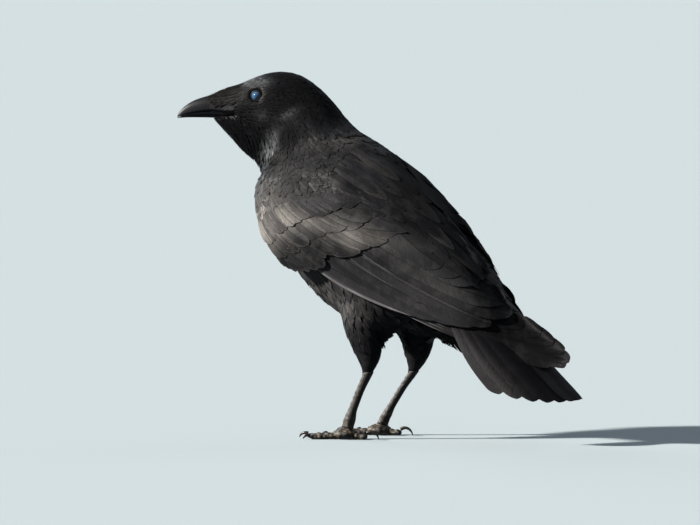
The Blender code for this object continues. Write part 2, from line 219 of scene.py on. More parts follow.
def barb_group():
    """Barbs leave the shaft at a slant on both webs: fine ribs, broken by wider splits."""
    group = bpy.data.node_groups.new("feather_barbs", "ShaderNodeTree")
    for label in ("Height", "Streak", "Shaft"):
        group.interface.new_socket(label, in_out="OUTPUT", socket_type="NodeSocketFloat")
    w = Wiring(group)
    out = w.node("NodeGroupOutput")
    aside, ahead, _ = w.parts(w.node("ShaderNodeUVMap", uv_map="Vane").outputs["UV"])
    off = w.math("ABSOLUTE", aside)
    along = w.math("SUBTRACT", ahead, w.times(off, BARB_SLANT))
    rib = w.math("SINE", w.times(w.math("DIVIDE", along, BARB_PITCH), 2 * math.pi))
    joined = w.node("ShaderNodeCombineXYZ")
    w.put(joined.inputs["X"], along)
    w.put(joined.inputs["Y"], w.times(aside, 0.22))
    w.put(joined.inputs["Z"], w.times(w.mark("tone"), 31.0))    # no two vanes are alike
    split = w.ramp(w.noise(joined.outputs[0], SPLIT_GRAIN, 4.0, 0.6), 0.3, 0.7)
    w.put(out.inputs["Height"], w.plus(w.times(rib, RIB_HEIGHT), w.times(split, SPLIT_HEIGHT)))
    w.put(out.inputs["Streak"], split)
    w.put(out.inputs["Shaft"], w.rest(w.ramp(off, *SHAFT_HALF)))
    return group


BARBS = barb_group()
SHAFT_COLOUR = (0.004, 0.004, 0.004)


def plumage(name, dark, worn, rim, paled, roughness, level, gloss, bump, blotched=0.1):
    """A feather finish. Its marks for wear and painted sheen, tone, edge, and dullness with painted
    shade bleach it or paint sheen on it, set each vane apart, pale its rim and take its gloss away."""
    made, shader = new_finish(
        name, Specular_IOR_Level=level, Coat_Roughness=0.3, Coat_IOR=1.45, Sheen_Weight=0.02,
        Sheen_Roughness=0.4, Sheen_Tint=(0.8, 0.88, 1, 1)
    )
    w = Wiring(made.node_tree)
    place = w.place()
    barbs = w.node("ShaderNodeGroup", node_tree=BARBS).outputs
    tone, velvet = w.mark("tone"), w.mark("velvet")
    glossy = w.rest(velvet)
    blotch = w.ramp(w.noise(place, BLOTCH_GRAIN, 3, 0.6), 0.5, 0.66)
    blotch = w.times(w.times(blotch, blotched), glossy)
    share = w.times(w.plus(w.mark("worn"), blotch, clamp=True),
                    w.plus(0.45, w.times(barbs["Streak"], 0.55)))
    base = w.blend(share, dark, worn)
    lighter = w.times(w.math("POWER", tone, 2.5), w.ramp(barbs["Streak"], -0.8, 1))
    base = w.blend(w.times(lighter, glossy), base, tuple(3.4 * c for c in dark))
    patches = w.times(w.ramp(w.noise(place, RIM_GRAIN, 2), 0.5, 0.68), tone)
    on_rim = w.ramp(w.mark("edge"), RIM_START, RIM_END)
    paler = w.math("MULTIPLY", on_rim, w.plus(paled, patches), clamp=True)
    base = w.blend(paler, base, rim)
    w.put(shader.inputs["Base Color"], w.blend(w.times(barbs["Shaft"], 0.5), base, SHAFT_COLOUR))
    rough = w.plus(roughness - 0.06, w.times(barbs["Streak"], 0.14))
    w.put(shader.inputs["Roughness"], w.plus(rough, w.times(velvet, 0.4), clamp=True))
    shine = w.times(w.times(w.ramp(w.noise(place, SHINE_GRAIN, 3), 0.46, 0.64), tone), glossy)
    w.put(shader.inputs["Coat Weight"], w.times(shine, gloss))
    w.relief(shader, barbs["Height"], bump, BARB_DEPTH)
    return made


# The name, the colours of fresh plumage, of bleached plumage and painted sheen, and of rims, how
# pale the rims are, the roughness, shine and gloss, the relief of the barbs, and how blotched it is.
HEAD_LOOK = plumage("head_plumage", (0.0021, 0.0023, 0.0032), (0.175, 0.188, 0.2),
                    (0.016, 0.016, 0.018), 0.1, 0.42, 0.07, 0.4, 0.2, 0.0)
BODY_LOOK = plumage("body_plumage", (0.0052, 0.0054, 0.0068), (0.22, 0.212, 0.205),
                    (0.05, 0.045, 0.042), 0.1, 0.42, 0.1, 0.35, 0.3)
WING_LOOK = plumage("wing_plumage", (0.0075, 0.0075, 0.009), (0.37, 0.35, 0.33),
                    (0.15, 0.14, 0.13), 0.2, 0.42, 0.14, 0.16, 0.5)
QUILL_LOOK = plumage("quill_plumage", (0.006, 0.006, 0.0075), (0.33, 0.325, 0.33),
                     (0.27, 0.27, 0.28), 0.35, 0.42, 0.09, 0.2, 0.5, 0.07)
TIP_LOOK = plumage("primary_plumage", (0.0045, 0.0045, 0.0055), (0.28, 0.275, 0.28),
                   (0.36, 0.36, 0.37), 0.5, 0.46, 0.06, 0.1, 0.45, 0.04)
TAIL_LOOK = plumage("tail_plumage", (0.0035, 0.0034, 0.0045), (0.15, 0.14, 0.155),
                    (0.17, 0.16, 0.175), 0.6, 0.44, 0.055, 0.1, 0.45, 0.03)


# ---- skin ---------------------------------------------------------------------------
# One dark skin over head, neck, trunk and thighs, which runs on under the folded wings, so
# that no cut between the solids shows. It lies inside them by the depth of the coat.
FLESH = ["head", "neck", "trunk", "thigh_left", "thigh_right"]
WINGS = {
    side: [f"wing_{side}_{part}" for part in ("arm", "secondaries", "primaries")]
    for side in ("left", "right")
}
OVERLAP = 0.4 * MM              # closes the cuts between solids
VOXEL = 2.2 * MM
FACE_DEPTH, BODY_DEPTH, HORN_DEPTH = 1.6 * MM, 4.6 * MM, 3.4 * MM
RUMP_START, RUMP_DRAWN_IN = 96 * MM, 0.55
HEAD_PIVOT = Vector((-87.4, 0, 0))
HEAD_TURN = math.radians(20)    # the head looks to the crow's left
HEAD_TURNED = Matrix.Rotation(HEAD_TURN, 3, "Z")


def merged_copy(name, nodes):
    """One new object from copies of these solids, with their loose triangles merged."""
    bm = bmesh.new()
    for node in nodes:
        bm.from_mesh(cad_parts[node].data)
    bmesh.ops.remove_doubles(bm, verts=bm.verts, dist=1e-6)
    mesh = bpy.data.meshes.new(name)
    bm.to_mesh(mesh)
    bm.free()
    made = bpy.data.objects.new(name, mesh)
    bpy.context.scene.collection.objects.link(made)
    return made


def apply_all(piece):
    bpy.ops.object.select_all(action="DESELECT")
    piece.select_set(True)
    bpy.context.view_layer.objects.active = piece
    for modifier in list(piece.modifiers):
        bpy.ops.object.modifier_apply(modifier=modifier.name)


def modifier(piece, kind, **settings):
    made = piece.modifiers.new(kind.lower(), kind)
    for key, value in settings.items():
        setattr(made, key, value)


def melted(name, nodes, voxel, smooth, close=0.0):
    """The solids flowed into one smooth form. Close bridges creases up to about that deep."""
    form = merged_copy(name, nodes)
    modifier(form, "DISPLACE", strength=OVERLAP + close, mid_level=0)
    modifier(form, "REMESH", mode="VOXEL", voxel_size=voxel)
    if close:
        modifier(form, "DISPLACE", strength=-close, mid_level=0)
    modifier(form, "SMOOTH", factor=0.5, iterations=smooth)
    apply_all(form)
    return form


def numbers(items, name, width=3):
    found = np.empty(len(items) * width, np.float32)
    items.foreach_get(name, found)
    return found.reshape(-1, width).astype(float)


def move_points(mesh, spots):
    mesh.vertices.foreach_set("co", spots.astype(np.float32).ravel())


def mark_points(mesh, name, values):
    mesh.attributes.new(name, "FLOAT", "POINT").data.foreach_set(
        "value", values.astype(np.float32)
    )


def bell(values, middle, width):
    """1 at the middle, and less to both sides of it."""
    return np.exp(-(((values - middle) / width) ** 2))


def rising(values, start, over):
    """0 up to the start, then up to 1. Where over is negative, it rises towards less."""
    return np.clip((values - start) / over, 0, 1)


def turned_level(points, angle):
    """Places in millimetres, turned level about the head's pivot."""
    c, s = math.cos(angle), math.sin(angle)
    x, y, z = (points - np.array(HEAD_PIVOT)).T
    return np.stack([c * x - s * y, s * x + c * y, z], axis=1) + np.array(HEAD_PIVOT)


def to_head(points):
    """Places turned back as if the head looked straight ahead."""
    return turned_level(points, -HEAD_TURN)


def head_share(points):
    """1 on the head and 0 on the trunk, in between on the neck."""
    return rising(points[:, 2] - 0.35 * (points[:, 0] + 100), 215, 45)


def wear_and_sheen_share(points):
    """Where the plumage is paler: bleached or frosted on wing coverts, mantle, belly and throat,
    with painted highlights on the brow, the throat's hackles and the wing's bend, and painted sheen
    in the covert band.
    """
    x, y, z = points.T
    aside = np.abs(y)
    # The covert band, and the quill term below it, are partly bleached wear and partly painted sheen
    # where the low sun catches the feathers.
    middle = np.interp(x, (-110, -84, -60, -30, -10, 10, 60), (190, 189, 195, 190, 181, 181, 172))
    strength = np.interp(
        x, (-92, -72, -48, -28, -10, 6, 32, 60), (1.3, 0.95, 0.45, 0.3, 0.95, 0.4, 0.35, 0.08)
    )
    band = strength * bell(z, middle, np.interp(x, (-90, -60), (17, 10)))
    # The bend term is a painted glint on the bend of the wing.
    bend = 0.15 * bell(x, -100, 17) * bell(z, 212, 15)
    quill = 0.2 * bell(z, 130, 28) * rising(x, 112, -30)
    shawl = 0.4 * bell(z, 266, 10) * bell(x, -40, 17)
    belly = 0.42 * rising(z, 168, -20) * rising(z, 80, 10)
    belly = belly * rising(x, -14, -26) * rising(aside, 46, -8)
    ahead, _, up = to_head(points).T
    # The ruff and the brow are painted highlights: the sheen on the throat's hackles and the glint
    # on the forehead.
    ruff = 1.7 * bell(ahead + 110.5 - 0.35 * (up - 266.5), 0, 5.2) * bell(up, 257, 13)
    brow = bell(ahead, -129, 11) * bell(up, 315, 4)
    cheek = 0.36 * bell(ahead, -120, 7) * bell(up, 286, 6)
    ear = 0.7 * bell(ahead, -97, 8) * bell(up - 287 - 0.4 * (ahead + 97), 0, 3.5)
    wing = rising(aside, 28, 12) * (band + bend + quill)
    return np.clip(wing + shawl + belly + ruff + 2.6 * brow + cheek + ear, 0, 1)


def dull_and_shaded_share(points):
    """Where the plumage is kept deep black and dull, without gloss or lighter flecks: the side of
    the neck and the back. It also paints shade on the nape, the back's ridge and the wrist below the
    mantle.
    """
    x, _, z = points.T
    neck = bell(x, -85, 16) * bell(z, 265, 17)
    ridge = 0.6 * rising(z + 0.9 * x, 236, 20) * rising(x, -20, 20)
    nape = rising(z + 0.8 * x, 232, 12) * rising(z, 276, 8)
    wrist = 0.8 * bell(x, -62, 16) * bell(z, 227, 9)
    return np.clip(1.3 * neck + ridge + 0.6 * nape + wrist, 0, 1)


def draw_in(mesh):
    """Moves the skin in by the depth of the coat, and further where horn or rump cover it."""
    spots = numbers(mesh.vertices, "co")
    lie = numbers(mesh.vertex_normals, "vector")
    thin = np.maximum(head_share(spots / MM), rising(spots[:, 2] / MM, 96, -18))[:, None]
    spots -= lie * (FACE_DEPTH * thin + BODY_DEPTH * (1 - thin))
    ahead, _, up = to_head(spots / MM).T
    horn_seat = rising(ahead, -142, -4) * (up > 282) * (up < 297)
    spots -= lie * horn_seat[:, None] * HORN_DEPTH
    spots[:, 0] -= RUMP_DRAWN_IN * np.maximum(0, spots[:, 0] - RUMP_START)
    move_points(mesh, spots)


def skin_look():
    made, shader = new_finish("skin_down", Roughness=0.8)
    w = Wiring(made.node_tree)
    down = w.noise(w.place(), 900, 4)
    dark = w.blend(down, (0.006, 0.006, 0.008), (0.02, 0.02, 0.023))
    # paler where the plumage is bleached or carries painted sheen, as on the feathers over it
    w.put(shader.inputs["Base Color"], w.blend(w.mark("worn"), dark, (0.05, 0.042, 0.037)))
    w.relief(shader, down, 0.6, 0.0006)
    return made


skin = melted("skin", FLESH + WINGS["left"][:2] + WINGS["right"][:2], VOXEL, 6)
draw_in(skin.data)
modifier(skin, "SMOOTH", iterations=4)
apply_all(skin)
skin.data.shade_smooth()
bpy.ops.object.mode_set(mode="EDIT")
bpy.ops.mesh.select_all(action="SELECT")
bpy.ops.uv.smart_project(angle_limit=1.15, island_margin=0.004, scale_to_bounds=True)
bpy.ops.object.mode_set(mode="OBJECT")
skin.data.uv_layers.active.name = "OFBake"
mark_points(skin.data, "worn", wear_and_sheen_share(numbers(skin.data.vertices, "co") / MM))
skin.data.materials.append(skin_look())
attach(skin, "root")
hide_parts(*FLESH)


# ---- how a feather is shaped and laid -----------------------------------------------
# Each feather is a thin closed vane: two webs that fall away from the shaft, buried at
# the root and free at the tip. A batch of them is worked out at once as a grid of
# distances across, along and above the surface, which a placing function sets in space.
PATCH = 0.003                   # size of one feather on the skin's map
DROP = 2.5                      # how far a vane may bend down over an edge, in millimetres


def tree_of(mesh):
    """The mesh's faces, to be searched by place in millimetres."""
    return BVHTree.FromPolygons(
        (numbers(mesh.vertices, "co") / MM).tolist(),
        [tuple(face.vertices) for face in mesh.polygons],
    )


class Form:
    """A closed surface that feathers lie on, melted by its recipe, with smooth normals."""

    def __init__(self, *recipe):
        shape = melted(*recipe)
        mesh = shape.data
        self.points = numbers(mesh.vertices, "co") / MM
        self.corners = [tuple(face.vertices) for face in mesh.polygons]
        self.tree = tree_of(mesh)
        smooth = numbers(mesh.vertex_normals, "vector")
        self.lie = np.array([smooth[list(face)].mean(0) for face in self.corners])
        self.lie /= np.linalg.norm(self.lie, axis=1)[:, None]
        self.middle = np.array([self.points[list(face)].mean(0) for face in self.corners])
        self.area = numbers(mesh.polygons, "area", 1)[:, 0] / MM**2
        bpy.data.objects.remove(shape)

    def nearest(self, places):
        """The nearest places on the surface, and which way is out there."""
        hits = [self.tree.find_nearest(place) for place in places.reshape(-1, 3).tolist()]
        spots = np.array([hit[0] for hit in hits])
        lie = self.lie[[hit[2] for hit in hits]]
        return spots.reshape(places.shape), lie.reshape(places.shape)


def unit(vectors):
    return vectors / np.maximum(np.linalg.norm(vectors, axis=-1, keepdims=True), 1e-9)


def per_feather(values):
    """One value for each feather, to be set against its rows and columns."""
    return values[:, None, None]


def vane_grid(length, half, shape, rng):
    """Distances across, along and above for a batch of feathers: (feather, row, column)."""
    count = len(length)
    rows = np.array(shape["rows"])[None, :, None]
    cols = np.array(shape["cols"])[None, None, :]
    widen = shape["base"] + (1 - shape["base"]) * np.sin(
        np.pi / 2 * np.minimum(1, rows / shape["peak"])
    )
    shoulder = shape.get("shoulder", shape["peak"])
    past = np.maximum(0, rows - shoulder) / (1 - shoulder)
    narrow = np.sqrt(1 - (1 - shape["tip"]**2) * past ** shape.get("blunt", 2.4))
    fray = shape["fray"]
    on_edge = np.abs(cols) > 0.99
    ragged = 1 + fray * rng.uniform(-1, 1, (count, rows.size, cols.size)) * on_edge
    sides = np.where(cols < 0, 1, shape.get("far_web", 1.0))
    across = per_feather(half) * cols * widen * narrow * ragged * sides
    out = across / per_feather(half)
    shorter = 1 - shape["round"] * out**2 * rows**4 * per_feather(half / length)
    reach = fray * per_feather(np.minimum(1.4, 26 / length))
    tips = 1 + reach * rng.uniform(-1, 1, (count, 1, cols.size)) * rows**5
    along = per_feather(length) * rows * shorter * tips
    droop = -shape["camber"] * np.abs(across) ** 1.5 / per_feather(np.sqrt(half))
    rise = -shape["depth"] * (1 - rows) ** 1.3 + shape.get("lift", 0.0) * rows**2
    wave = shape["wave"] * rng.uniform(-1, 1, (count, rows.size, cols.size)) * rows
    above = droop + rise + wave + shape.get("ridge", 0.0) * (np.abs(cols) < 0.02)
    return across, along, above


# Fade and extra change how bleached the vanes are and how much painted sheen they carry, rim how
# pale their edges.
Batch = namedtuple("Batch", "places outward across along tone thick fade extra rim",
                   defaults=(1.0, 0.0, 1.0))


def both_sides(upper, under=None):
    """The upper side's values, then those of the underside, which lacks the outline."""
    under = upper if under is None else under
    inner = under[:, 1:-1, 1:-1]
    flat = [part.reshape(len(part), -1, *part.shape[3:]) for part in (upper, inner)]
    return np.concatenate(flat, axis=1)


def vane_faces(rows, cols):
    """Four-cornered faces of the upper side and of the underside, which share the outline."""
    top = np.arange(rows * cols).reshape(rows, cols)
    under = top.copy()
    under[1:-1, 1:-1] = rows * cols + np.arange((rows - 2) * (cols - 2)).reshape(rows - 2, cols - 2)
    quads = []
    for grid, way in ((top, 1), (under, -1)):
        ring = [grid[:-1, :-1], grid[:-1, 1:], grid[1:, 1:], grid[1:, :-1]]
        quads.append(np.stack([part.ravel() for part in ring[::way]], axis=1))
    return np.concatenate(quads)


def root_on_map(roots):
    """Where on the skin's own unwrap each root stands."""
    faces = [SKIN_TREE.find_nearest(place)[2] for place in roots.tolist()]
    return np.array([SKIN_UV[SKIN_FACES[face]].mean(0) for face in faces])


def feather_mesh(name, batches, look):
    """One joined mesh from batches of vanes."""
    vertex, faces = [], []
    maps = {"OFBake": [], "Vane": []}
    marks = {"tone": [], "worn": [], "edge": [], "velvet": []}
    start = 0
    for batch in batches:
        across, along = batch.across, batch.along
        count, rows, cols = across.shape
        body = both_sides(batch.places, batch.places - batch.outward * batch.thick)
        each = body.shape[1]
        spots = body.reshape(-1, 3)
        home = root_on_map(batch.places[:, 0, cols // 2])
        wide, long = np.abs(across).max() * 2, along.max()
        maps["OFBake"].append(np.stack([
            home[:, :1] + PATCH * both_sides(across) / wide,
            home[:, 1:] + PATCH * (both_sides(along) / long - 0.5),
        ], axis=-1).reshape(-1, 2))
        centimetres = np.stack([both_sides(across), both_sides(along)], axis=-1) / 10
        maps["Vane"].append(centimetres.reshape(-1, 2))
        patchy = 0.35 + 0.65 * np.repeat((batch.tone * 7.3) % 1, each)
        extra = both_sides(np.broadcast_to(batch.extra, across.shape)).ravel()
        widest = np.where(across > 0, across[..., -1:], across[..., :1])
        off = np.where(across > 0, across / np.where(np.abs(widest) < 1e-6, 1, widest), 0)
        tip = (along / along.max(1, keepdims=True).max(2, keepdims=True)) ** 3
        marks["velvet"].append(dull_and_shaded_share(spots))
        marks["tone"].append(np.repeat(batch.tone, each))
        marks["worn"].append((wear_and_sheen_share(spots) * batch.fade + extra) * patchy)
        marks["edge"].append(both_sides(np.maximum(off, tip) * batch.rim).ravel())
        vertex.append(spots)
        shift = per_feather(start + np.arange(count) * each)
        faces.append((vane_faces(rows, cols)[None] + shift).reshape(-1, 4))
        start += count * each
    return mesh_from(name, vertex, faces, maps, marks, look)


def mesh_from(name, vertex, faces, maps, marks, look):
    faces = np.concatenate(faces).astype(np.int32)
    mesh = bpy.data.meshes.new(name)
    mesh.vertices.add(sum(len(part) for part in vertex))
    move_points(mesh, np.concatenate(vertex) * MM)
    mesh.loops.add(faces.size)
    mesh.loops.foreach_set("vertex_index", faces.ravel())
    mesh.polygons.add(len(faces))
    mesh.polygons.foreach_set("loop_start", np.arange(0, faces.size, 4, dtype=np.int32))
    mesh.update(calc_edges=True)
    for label, values in maps.items():
        layer = mesh.uv_layers.new(name=label, do_init=False)
        values = np.concatenate(values)[faces.ravel()]
        layer.uv.foreach_set("vector", values.astype(np.float32).ravel())
    for label, values in marks.items():
        mark_points(mesh, label, np.concatenate(values))
    mesh.shade_smooth()
    mesh.set_sharp_from_angle(angle=math.radians(60))
    mesh.materials.append(look)
    piece = bpy.data.objects.new(name, mesh)
    bpy.context.scene.collection.objects.link(piece)
    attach(piece, "root")
    return piece


SKIN_TREE = tree_of(skin.data)
SKIN_UV = numbers(skin.data.uv_layers["OFBake"].uv, "vector", 2)
SKIN_FACES = [list(face.loop_indices) for face in skin.data.polygons]

body_form = Form("body_form", FLESH, VOXEL, 5)
back_form = Form("back_form", FLESH + WINGS["left"] + WINGS["right"], 2.6 * MM, 24, 7 * MM)
leg_form = Form("leg_form", FLESH + ["tarsus_left", "tarsus_right"], 1.6 * MM, 12, 6 * MM)
hip_form = Form("hip_form", FLESH, 2.4 * MM, 26, 13 * MM)
bill_form = Form("bill_form", ["head", "bill_upper", "bill_lower"], 1.2 * MM, 3)


# ---- contour feathers ---------------------------------------------------------------
# Small feathers of the body, rooted in the skin, which overlap like tiles from the bill
# back to the tail. The lie of the coat is set tract by tract, on the side of the bird.
TRACTS = {
    # x and z, heading in x and in z, length, half-width, spacing, how free the tip stands
    "bill_base": (-160, 298, 1.0, 0.25, 4.2, 0.8, 1.4, 0.2),
    "lores": (-143, 297, 1.0, 0.0, 4.6, 0.9, 1.4, 0.2),
    "forehead": (-135, 314, 1.0, 0.35, 4.8, 1.0, 1.45, 0.1),
    "crown": (-104, 325, 1.0, -0.1, 6.5, 1.4, 1.8, 0.1),
    "ear": (-118, 288, 0.9, -0.45, 6.5, 0.9, 1.6, 0.25),
    "occiput": (-80, 313, 0.65, -0.75, 8.5, 1.9, 2.3, 0.2),
    "chin": (-148, 279, 0.8, -0.6, 5.5, 0.8, 1.6, 0.4),
    "throat": (-132, 258, 0.45, -0.9, 12.0, 1.2, 2.3, 1.0),
    "neck_side": (-106, 262, 0.35, -0.93, 14.0, 1.7, 2.6, 0.7),
    "nape": (-62, 298, 0.6, -0.8, 10.0, 1.7, 2.2, 0.2),
    "collar": (-72, 266, 0.65, -0.75, 12.0, 2.3, 2.7, 0.3),
    "mantle": (-25, 268, 0.85, -0.5, 18.0, 4.4, 4.3, 0.3),
    "shoulder": (-58, 244, 0.7, -0.7, 16.0, 4.0, 3.9, 0.6),
    "bend": (-108, 216, 0.25, -0.97, 10.0, 3.6, 3.5, 0.3),
    "lesser_front": (-84, 222, 0.5, -0.87, 12.0, 4.2, 4.0, 0.3),
    "lesser_back": (-40, 224, 0.78, -0.62, 15.0, 5.0, 4.6, 0.4),
    "back": (25, 243, 0.76, -0.65, 23.0, 7.0, 6.0, 0.25),
    "rump": (70, 195, 0.68, -0.73, 27.0, 8.5, 7.0, 0.7),
    "uppertail": (105, 125, 0.7, -0.7, 30.0, 9.0, 7.4, 0.5),
    "breast": (-118, 214, 0.15, -1.0, 18.0, 4.8, 4.4, 0.6),
    "lower_breast": (-98, 178, 0.45, -0.9, 26.0, 5.0, 4.6, 0.6),
    "belly": (-62, 147, 0.6, -0.8, 33.0, 5.2, 4.7, 0.7),
    "thigh_top": (-18, 110, 0.42, -0.9, 34.0, 4.6, 3.9, 0.9),
    "vent": (10, 104, 0.9, -0.42, 27.0, 7.0, 6.2, 1.8),
    "undertail": (70, 93, 0.95, -0.3, 36.0, 8.5, 7.5, 1.0),
    "flank": (0, 165, 0.75, -0.66, 32.0, 6.0, 5.2, 0.9),
}
TRACT_ROWS = np.array(list(TRACTS.values()), float)
TRIES = 7                       # how many roots are tried for each that may find room
NECK = 0.12                     # the share of head from which on it is the neck
WING_THICK = 2.2                # a place this near to a wing's solids is on the wing

# Each is set for a feather of the length that it suits, and flatter on shorter ones.
SMALL = dict(rows=(0, 0.45, 0.8, 1), cols=(-1, 0, 1), peak=0.55, base=0.5, tip=0.35, round=0.3,
             camber=0.06, depth=0.5, fray=0.05, wave=0.03, suits=6)
HACKLE = dict(rows=(0, 0.3, 0.6, 0.85, 1), cols=(-1, 0, 1), peak=0.45, base=0.5, tip=0.12,
              round=0.25, camber=0.12, depth=1.3, lift=0.3, fray=0.08, wave=0.15, suits=12)
CONTOUR = dict(rows=(0, 0.3, 0.55, 0.75, 0.9, 1), cols=(-1, -0.55, 0, 0.55, 1), peak=0.55,
               base=0.45, tip=0.3, round=0.4, camber=0.1, depth=1.3, fray=0.05, wave=0.06,
               suits=20)
LOOSE = dict(CONTOUR, cols=(-1, -0.66, -0.33, 0, 0.33, 0.66, 1), peak=0.45, base=0.4, tip=0.06,
             round=0.5, depth=1.4, lift=0.1, fray=0.12, wave=0.16, suits=22)
TUFT = dict(HACKLE, peak=0.35, base=0.6, tip=0.06, round=0.2, camber=0.15, depth=1.0, lift=0.8,
            fray=0.12, wave=0.5, suits=17)
SCALY = dict(rows=(0, 0.35, 0.62, 0.84, 1), cols=(-1, -0.5, 0, 0.5, 1), peak=0.5, base=0.6,
             tip=0.25, round=0.4, camber=0.1, depth=0.8, fray=0.015, wave=0.05, suits=10)


def coat_at(points):
    """Heading, length, half-width, spacing and free tip of the coat at these places."""
    share = head_share(points)
    side = points * (1 - share[:, None]) + to_head(points) * share[:, None]
    gap = (side[:, None, 0] - TRACT_ROWS[None, :, 0]) ** 2
    gap = gap + (side[:, None, 2] - TRACT_ROWS[None, :, 1]) ** 2
    weight = 1 / (gap + 30) ** 2
    weight /= weight.sum(1, keepdims=True)
    ahead, down, length, half, spacing, free = (weight @ TRACT_ROWS[:, 2:]).T
    turn = HEAD_TURN * share
    heading = np.stack([ahead * np.cos(turn), ahead * np.sin(turn), down], axis=1)
    return unit(heading), length, half, spacing, free


def has_room(place, home, gap, wide, taken):
    """Whether no root in the boxes round about stands nearer than the gap."""
    x, y, z = home
    for i, j, k in product(range(-wide, wide + 1), repeat=3):
        for other in taken.get((x + i, y + j, z + k), ()):
            if sum((p - q) ** 2 for p, q in zip(place, other)) < gap * gap:
                return False
    return True


def spread_roots(form, wanted, spacing, rng):
    """Places for roots, evenly apart, on the part of the form that wanted() picks."""
    faces = np.flatnonzero(wanted(form.middle))
    chance = form.area[faces] / spacing(form.middle[faces]) ** 2
    tries = int(chance.sum() * TRIES)
    picked = rng.choice(faces, tries, p=chance / chance.sum())
    bits = rng.uniform(0, 1, (tries, 2))
    quads = np.array([(*form.corners[face], form.corners[face][-1])[:4] for face in picked])
    a, b, c, d = (form.points[quads[:, k]] for k in range(4))
    s, t = bits[:, :1], bits[:, 1:]
    places = (a * (1 - s) + b * s) * (1 - t) + (d * (1 - s) + c * s) * t
    reach = spacing(places)
    cell = reach.min()
    taken, roots = {}, []
    for place, gap in zip(places.tolist(), reach.tolist()):
        home = tuple(int(v // cell) for v in place)
        if has_room(place, home, gap, int(math.ceil(gap / cell)), taken):
            taken.setdefault(home, []).append(place)
            roots.append(place)
    return np.array(roots)


def along_surface(ahead, out):
    return unit(ahead - out * (ahead * out).sum(1, keepdims=True))


def lay_on_form(form, roots, heading, grid, rng, thick, straighten=0.65):
    """A batch of vanes, each carried along the surface from its root and bent to it."""
    across, along, above = grid
    middle = across.shape[2] // 2
    spot, out = form.nearest(roots)
    ahead = along_surface(heading, out)
    places = np.empty((*across.shape, 3))
    outward = np.empty_like(places)
    for r in range(across.shape[1]):
        if r:
            step = (along[:, r, middle] - along[:, r - 1, middle])[:, None]
            spot, out = form.nearest(spot + ahead * step)
            ahead = unit(ahead * straighten + coat_at(spot)[0] * (1 - straighten))
            ahead = along_surface(ahead, out)
        side = np.cross(out, ahead)
        back = (along[:, r] - along[:, r, middle][:, None])[:, :, None]
        flat = spot[:, None] + side[:, None] * across[:, r][:, :, None] + ahead[:, None] * back
        near, lie = form.nearest(flat)
        gap = np.linalg.norm(near - flat, axis=-1, keepdims=True)
        near = flat + (near - flat) * np.minimum(1, DROP / np.maximum(gap, 1e-6))
        lie = unit(lie * 0.5 + out[:, None] * 0.5)
        places[:, r] = near + lie * above[:, r][:, :, None]
        outward[:, r] = lie
    return Batch(places, outward, across, along, rng.uniform(0, 1, len(roots)), thick)


def coat(name, form, wanted, shape, seed, look=BODY_LOOK, grow=1.0, styled=None, drop=None):
    """A tract of feathers over the part of a form that wanted() picks."""
    rng = np.random.default_rng(seed)
    roots = spread_roots(form, wanted, lambda p: coat_at(p)[3] * grow, rng)
    if drop is not None:
        roots = roots[~drop(roots)]
    heading, length, half, _, free = coat_at(roots)
    if styled is not None:
        heading, length, half, free = styled(roots, heading)
    count = len(roots)
    length = length * rng.uniform(0.88, 1.12, count)
    half = half * rng.uniform(0.9, 1.1, count)
    wobble = rng.normal(0, 0.09, count)[:, None]
    heading = unit(heading + np.cross(form.nearest(roots)[1], heading) * wobble)
    across, along, above = vane_grid(length, half, shape, rng)
    above = above * per_feather(np.clip(length / shape["suits"], 0.4, 1.3))
    above = above + per_feather(free - 0.4) * np.array(shape["rows"])[None, :, None] ** 2
    uneven = np.minimum(0.2, length * 0.012)
    above = above + per_feather(uneven * rng.uniform(-1, 1, count))
    thick = 0.1 + 0.006 * length.mean()
    batch = lay_on_form(form, roots, heading, (across, along, above), rng, thick)
    feather_mesh(name, [batch], look)


def wing_tree(nodes):
    """The solids of one wing, to find what they cover."""
    shape = merged_copy("cover", nodes)
    tree = tree_of(shape.data)
    bpy.data.objects.remove(shape)
    return tree


COVERS = {side: wing_tree(nodes) for side, nodes in WINGS.items()}
OUTWARD = {"left": -1, "right": 1}


def under_wing(points):
    """Where a wing hides the place and what is just behind and above it."""
    hidden = np.zeros(len(points), bool)
    for i, (x, y, z) in enumerate(points.tolist()):
        side = "left" if y < 0 else "right"
        hidden[i] = all(
            COVERS[side].ray_cast((x + dx, y, z + dz), (0, OUTWARD[side], 0), 40)[0] is not None
            for dx, dz in ((0, 0), (14, -14), (-6, 8))
        )
    return hidden


def on_wing(points):
    found = np.zeros(len(points), bool)
    for side, way in OUTWARD.items():
        for i in np.flatnonzero(points[:, 1] * way > 20):
            found[i] = COVERS[side].find_nearest(points[i].tolist())[3] < WING_THICK
    return found


def scapular_line(x):
    """Height on the side where the shoulder and back feathers give way to the wing's own."""
    return np.interp(x, (-125, -100, -64, -25, 0, 20, 47, 79, 99, 110, 134),
                     (238, 238, 236, 231, 222, 208, 187, 166, 150, 138, 104))


def lesser_line(x):
    """Height on the wing below which its coverts stand in rows."""
    return np.interp(x, (-105, -97, -80, -56, -32, -4, 20), (172, 182, 193, 202, 209, 217, 223))


def above_collar(points):
    """Over the line where the sleek head gives way to the hackles and the mantle."""
    x, _, z = points.T
    return z > np.interp(x, (-140, -110, -85, -50, -20), (252, 262, 270, 274, 276))


def is_front(points):
    """Ahead of the slanting line down the side of the neck, where the hackles end."""
    x, _, z = points.T
    return (head_share(points) > NECK) & (x < -91 - 0.5 * (276 - z))


def is_head(points):
    x, _, z = to_head(points).T
    bare_horn = (x < -146.5) & (z > 283.6 + 0.1 * (x + 166))
    return above_collar(points) & ~bare_horn


def is_neck(points):
    wing = on_wing(points) & (points[:, 2] < scapular_line(points[:, 0]))
    return ~above_collar(points) & is_front(points) & ~wing


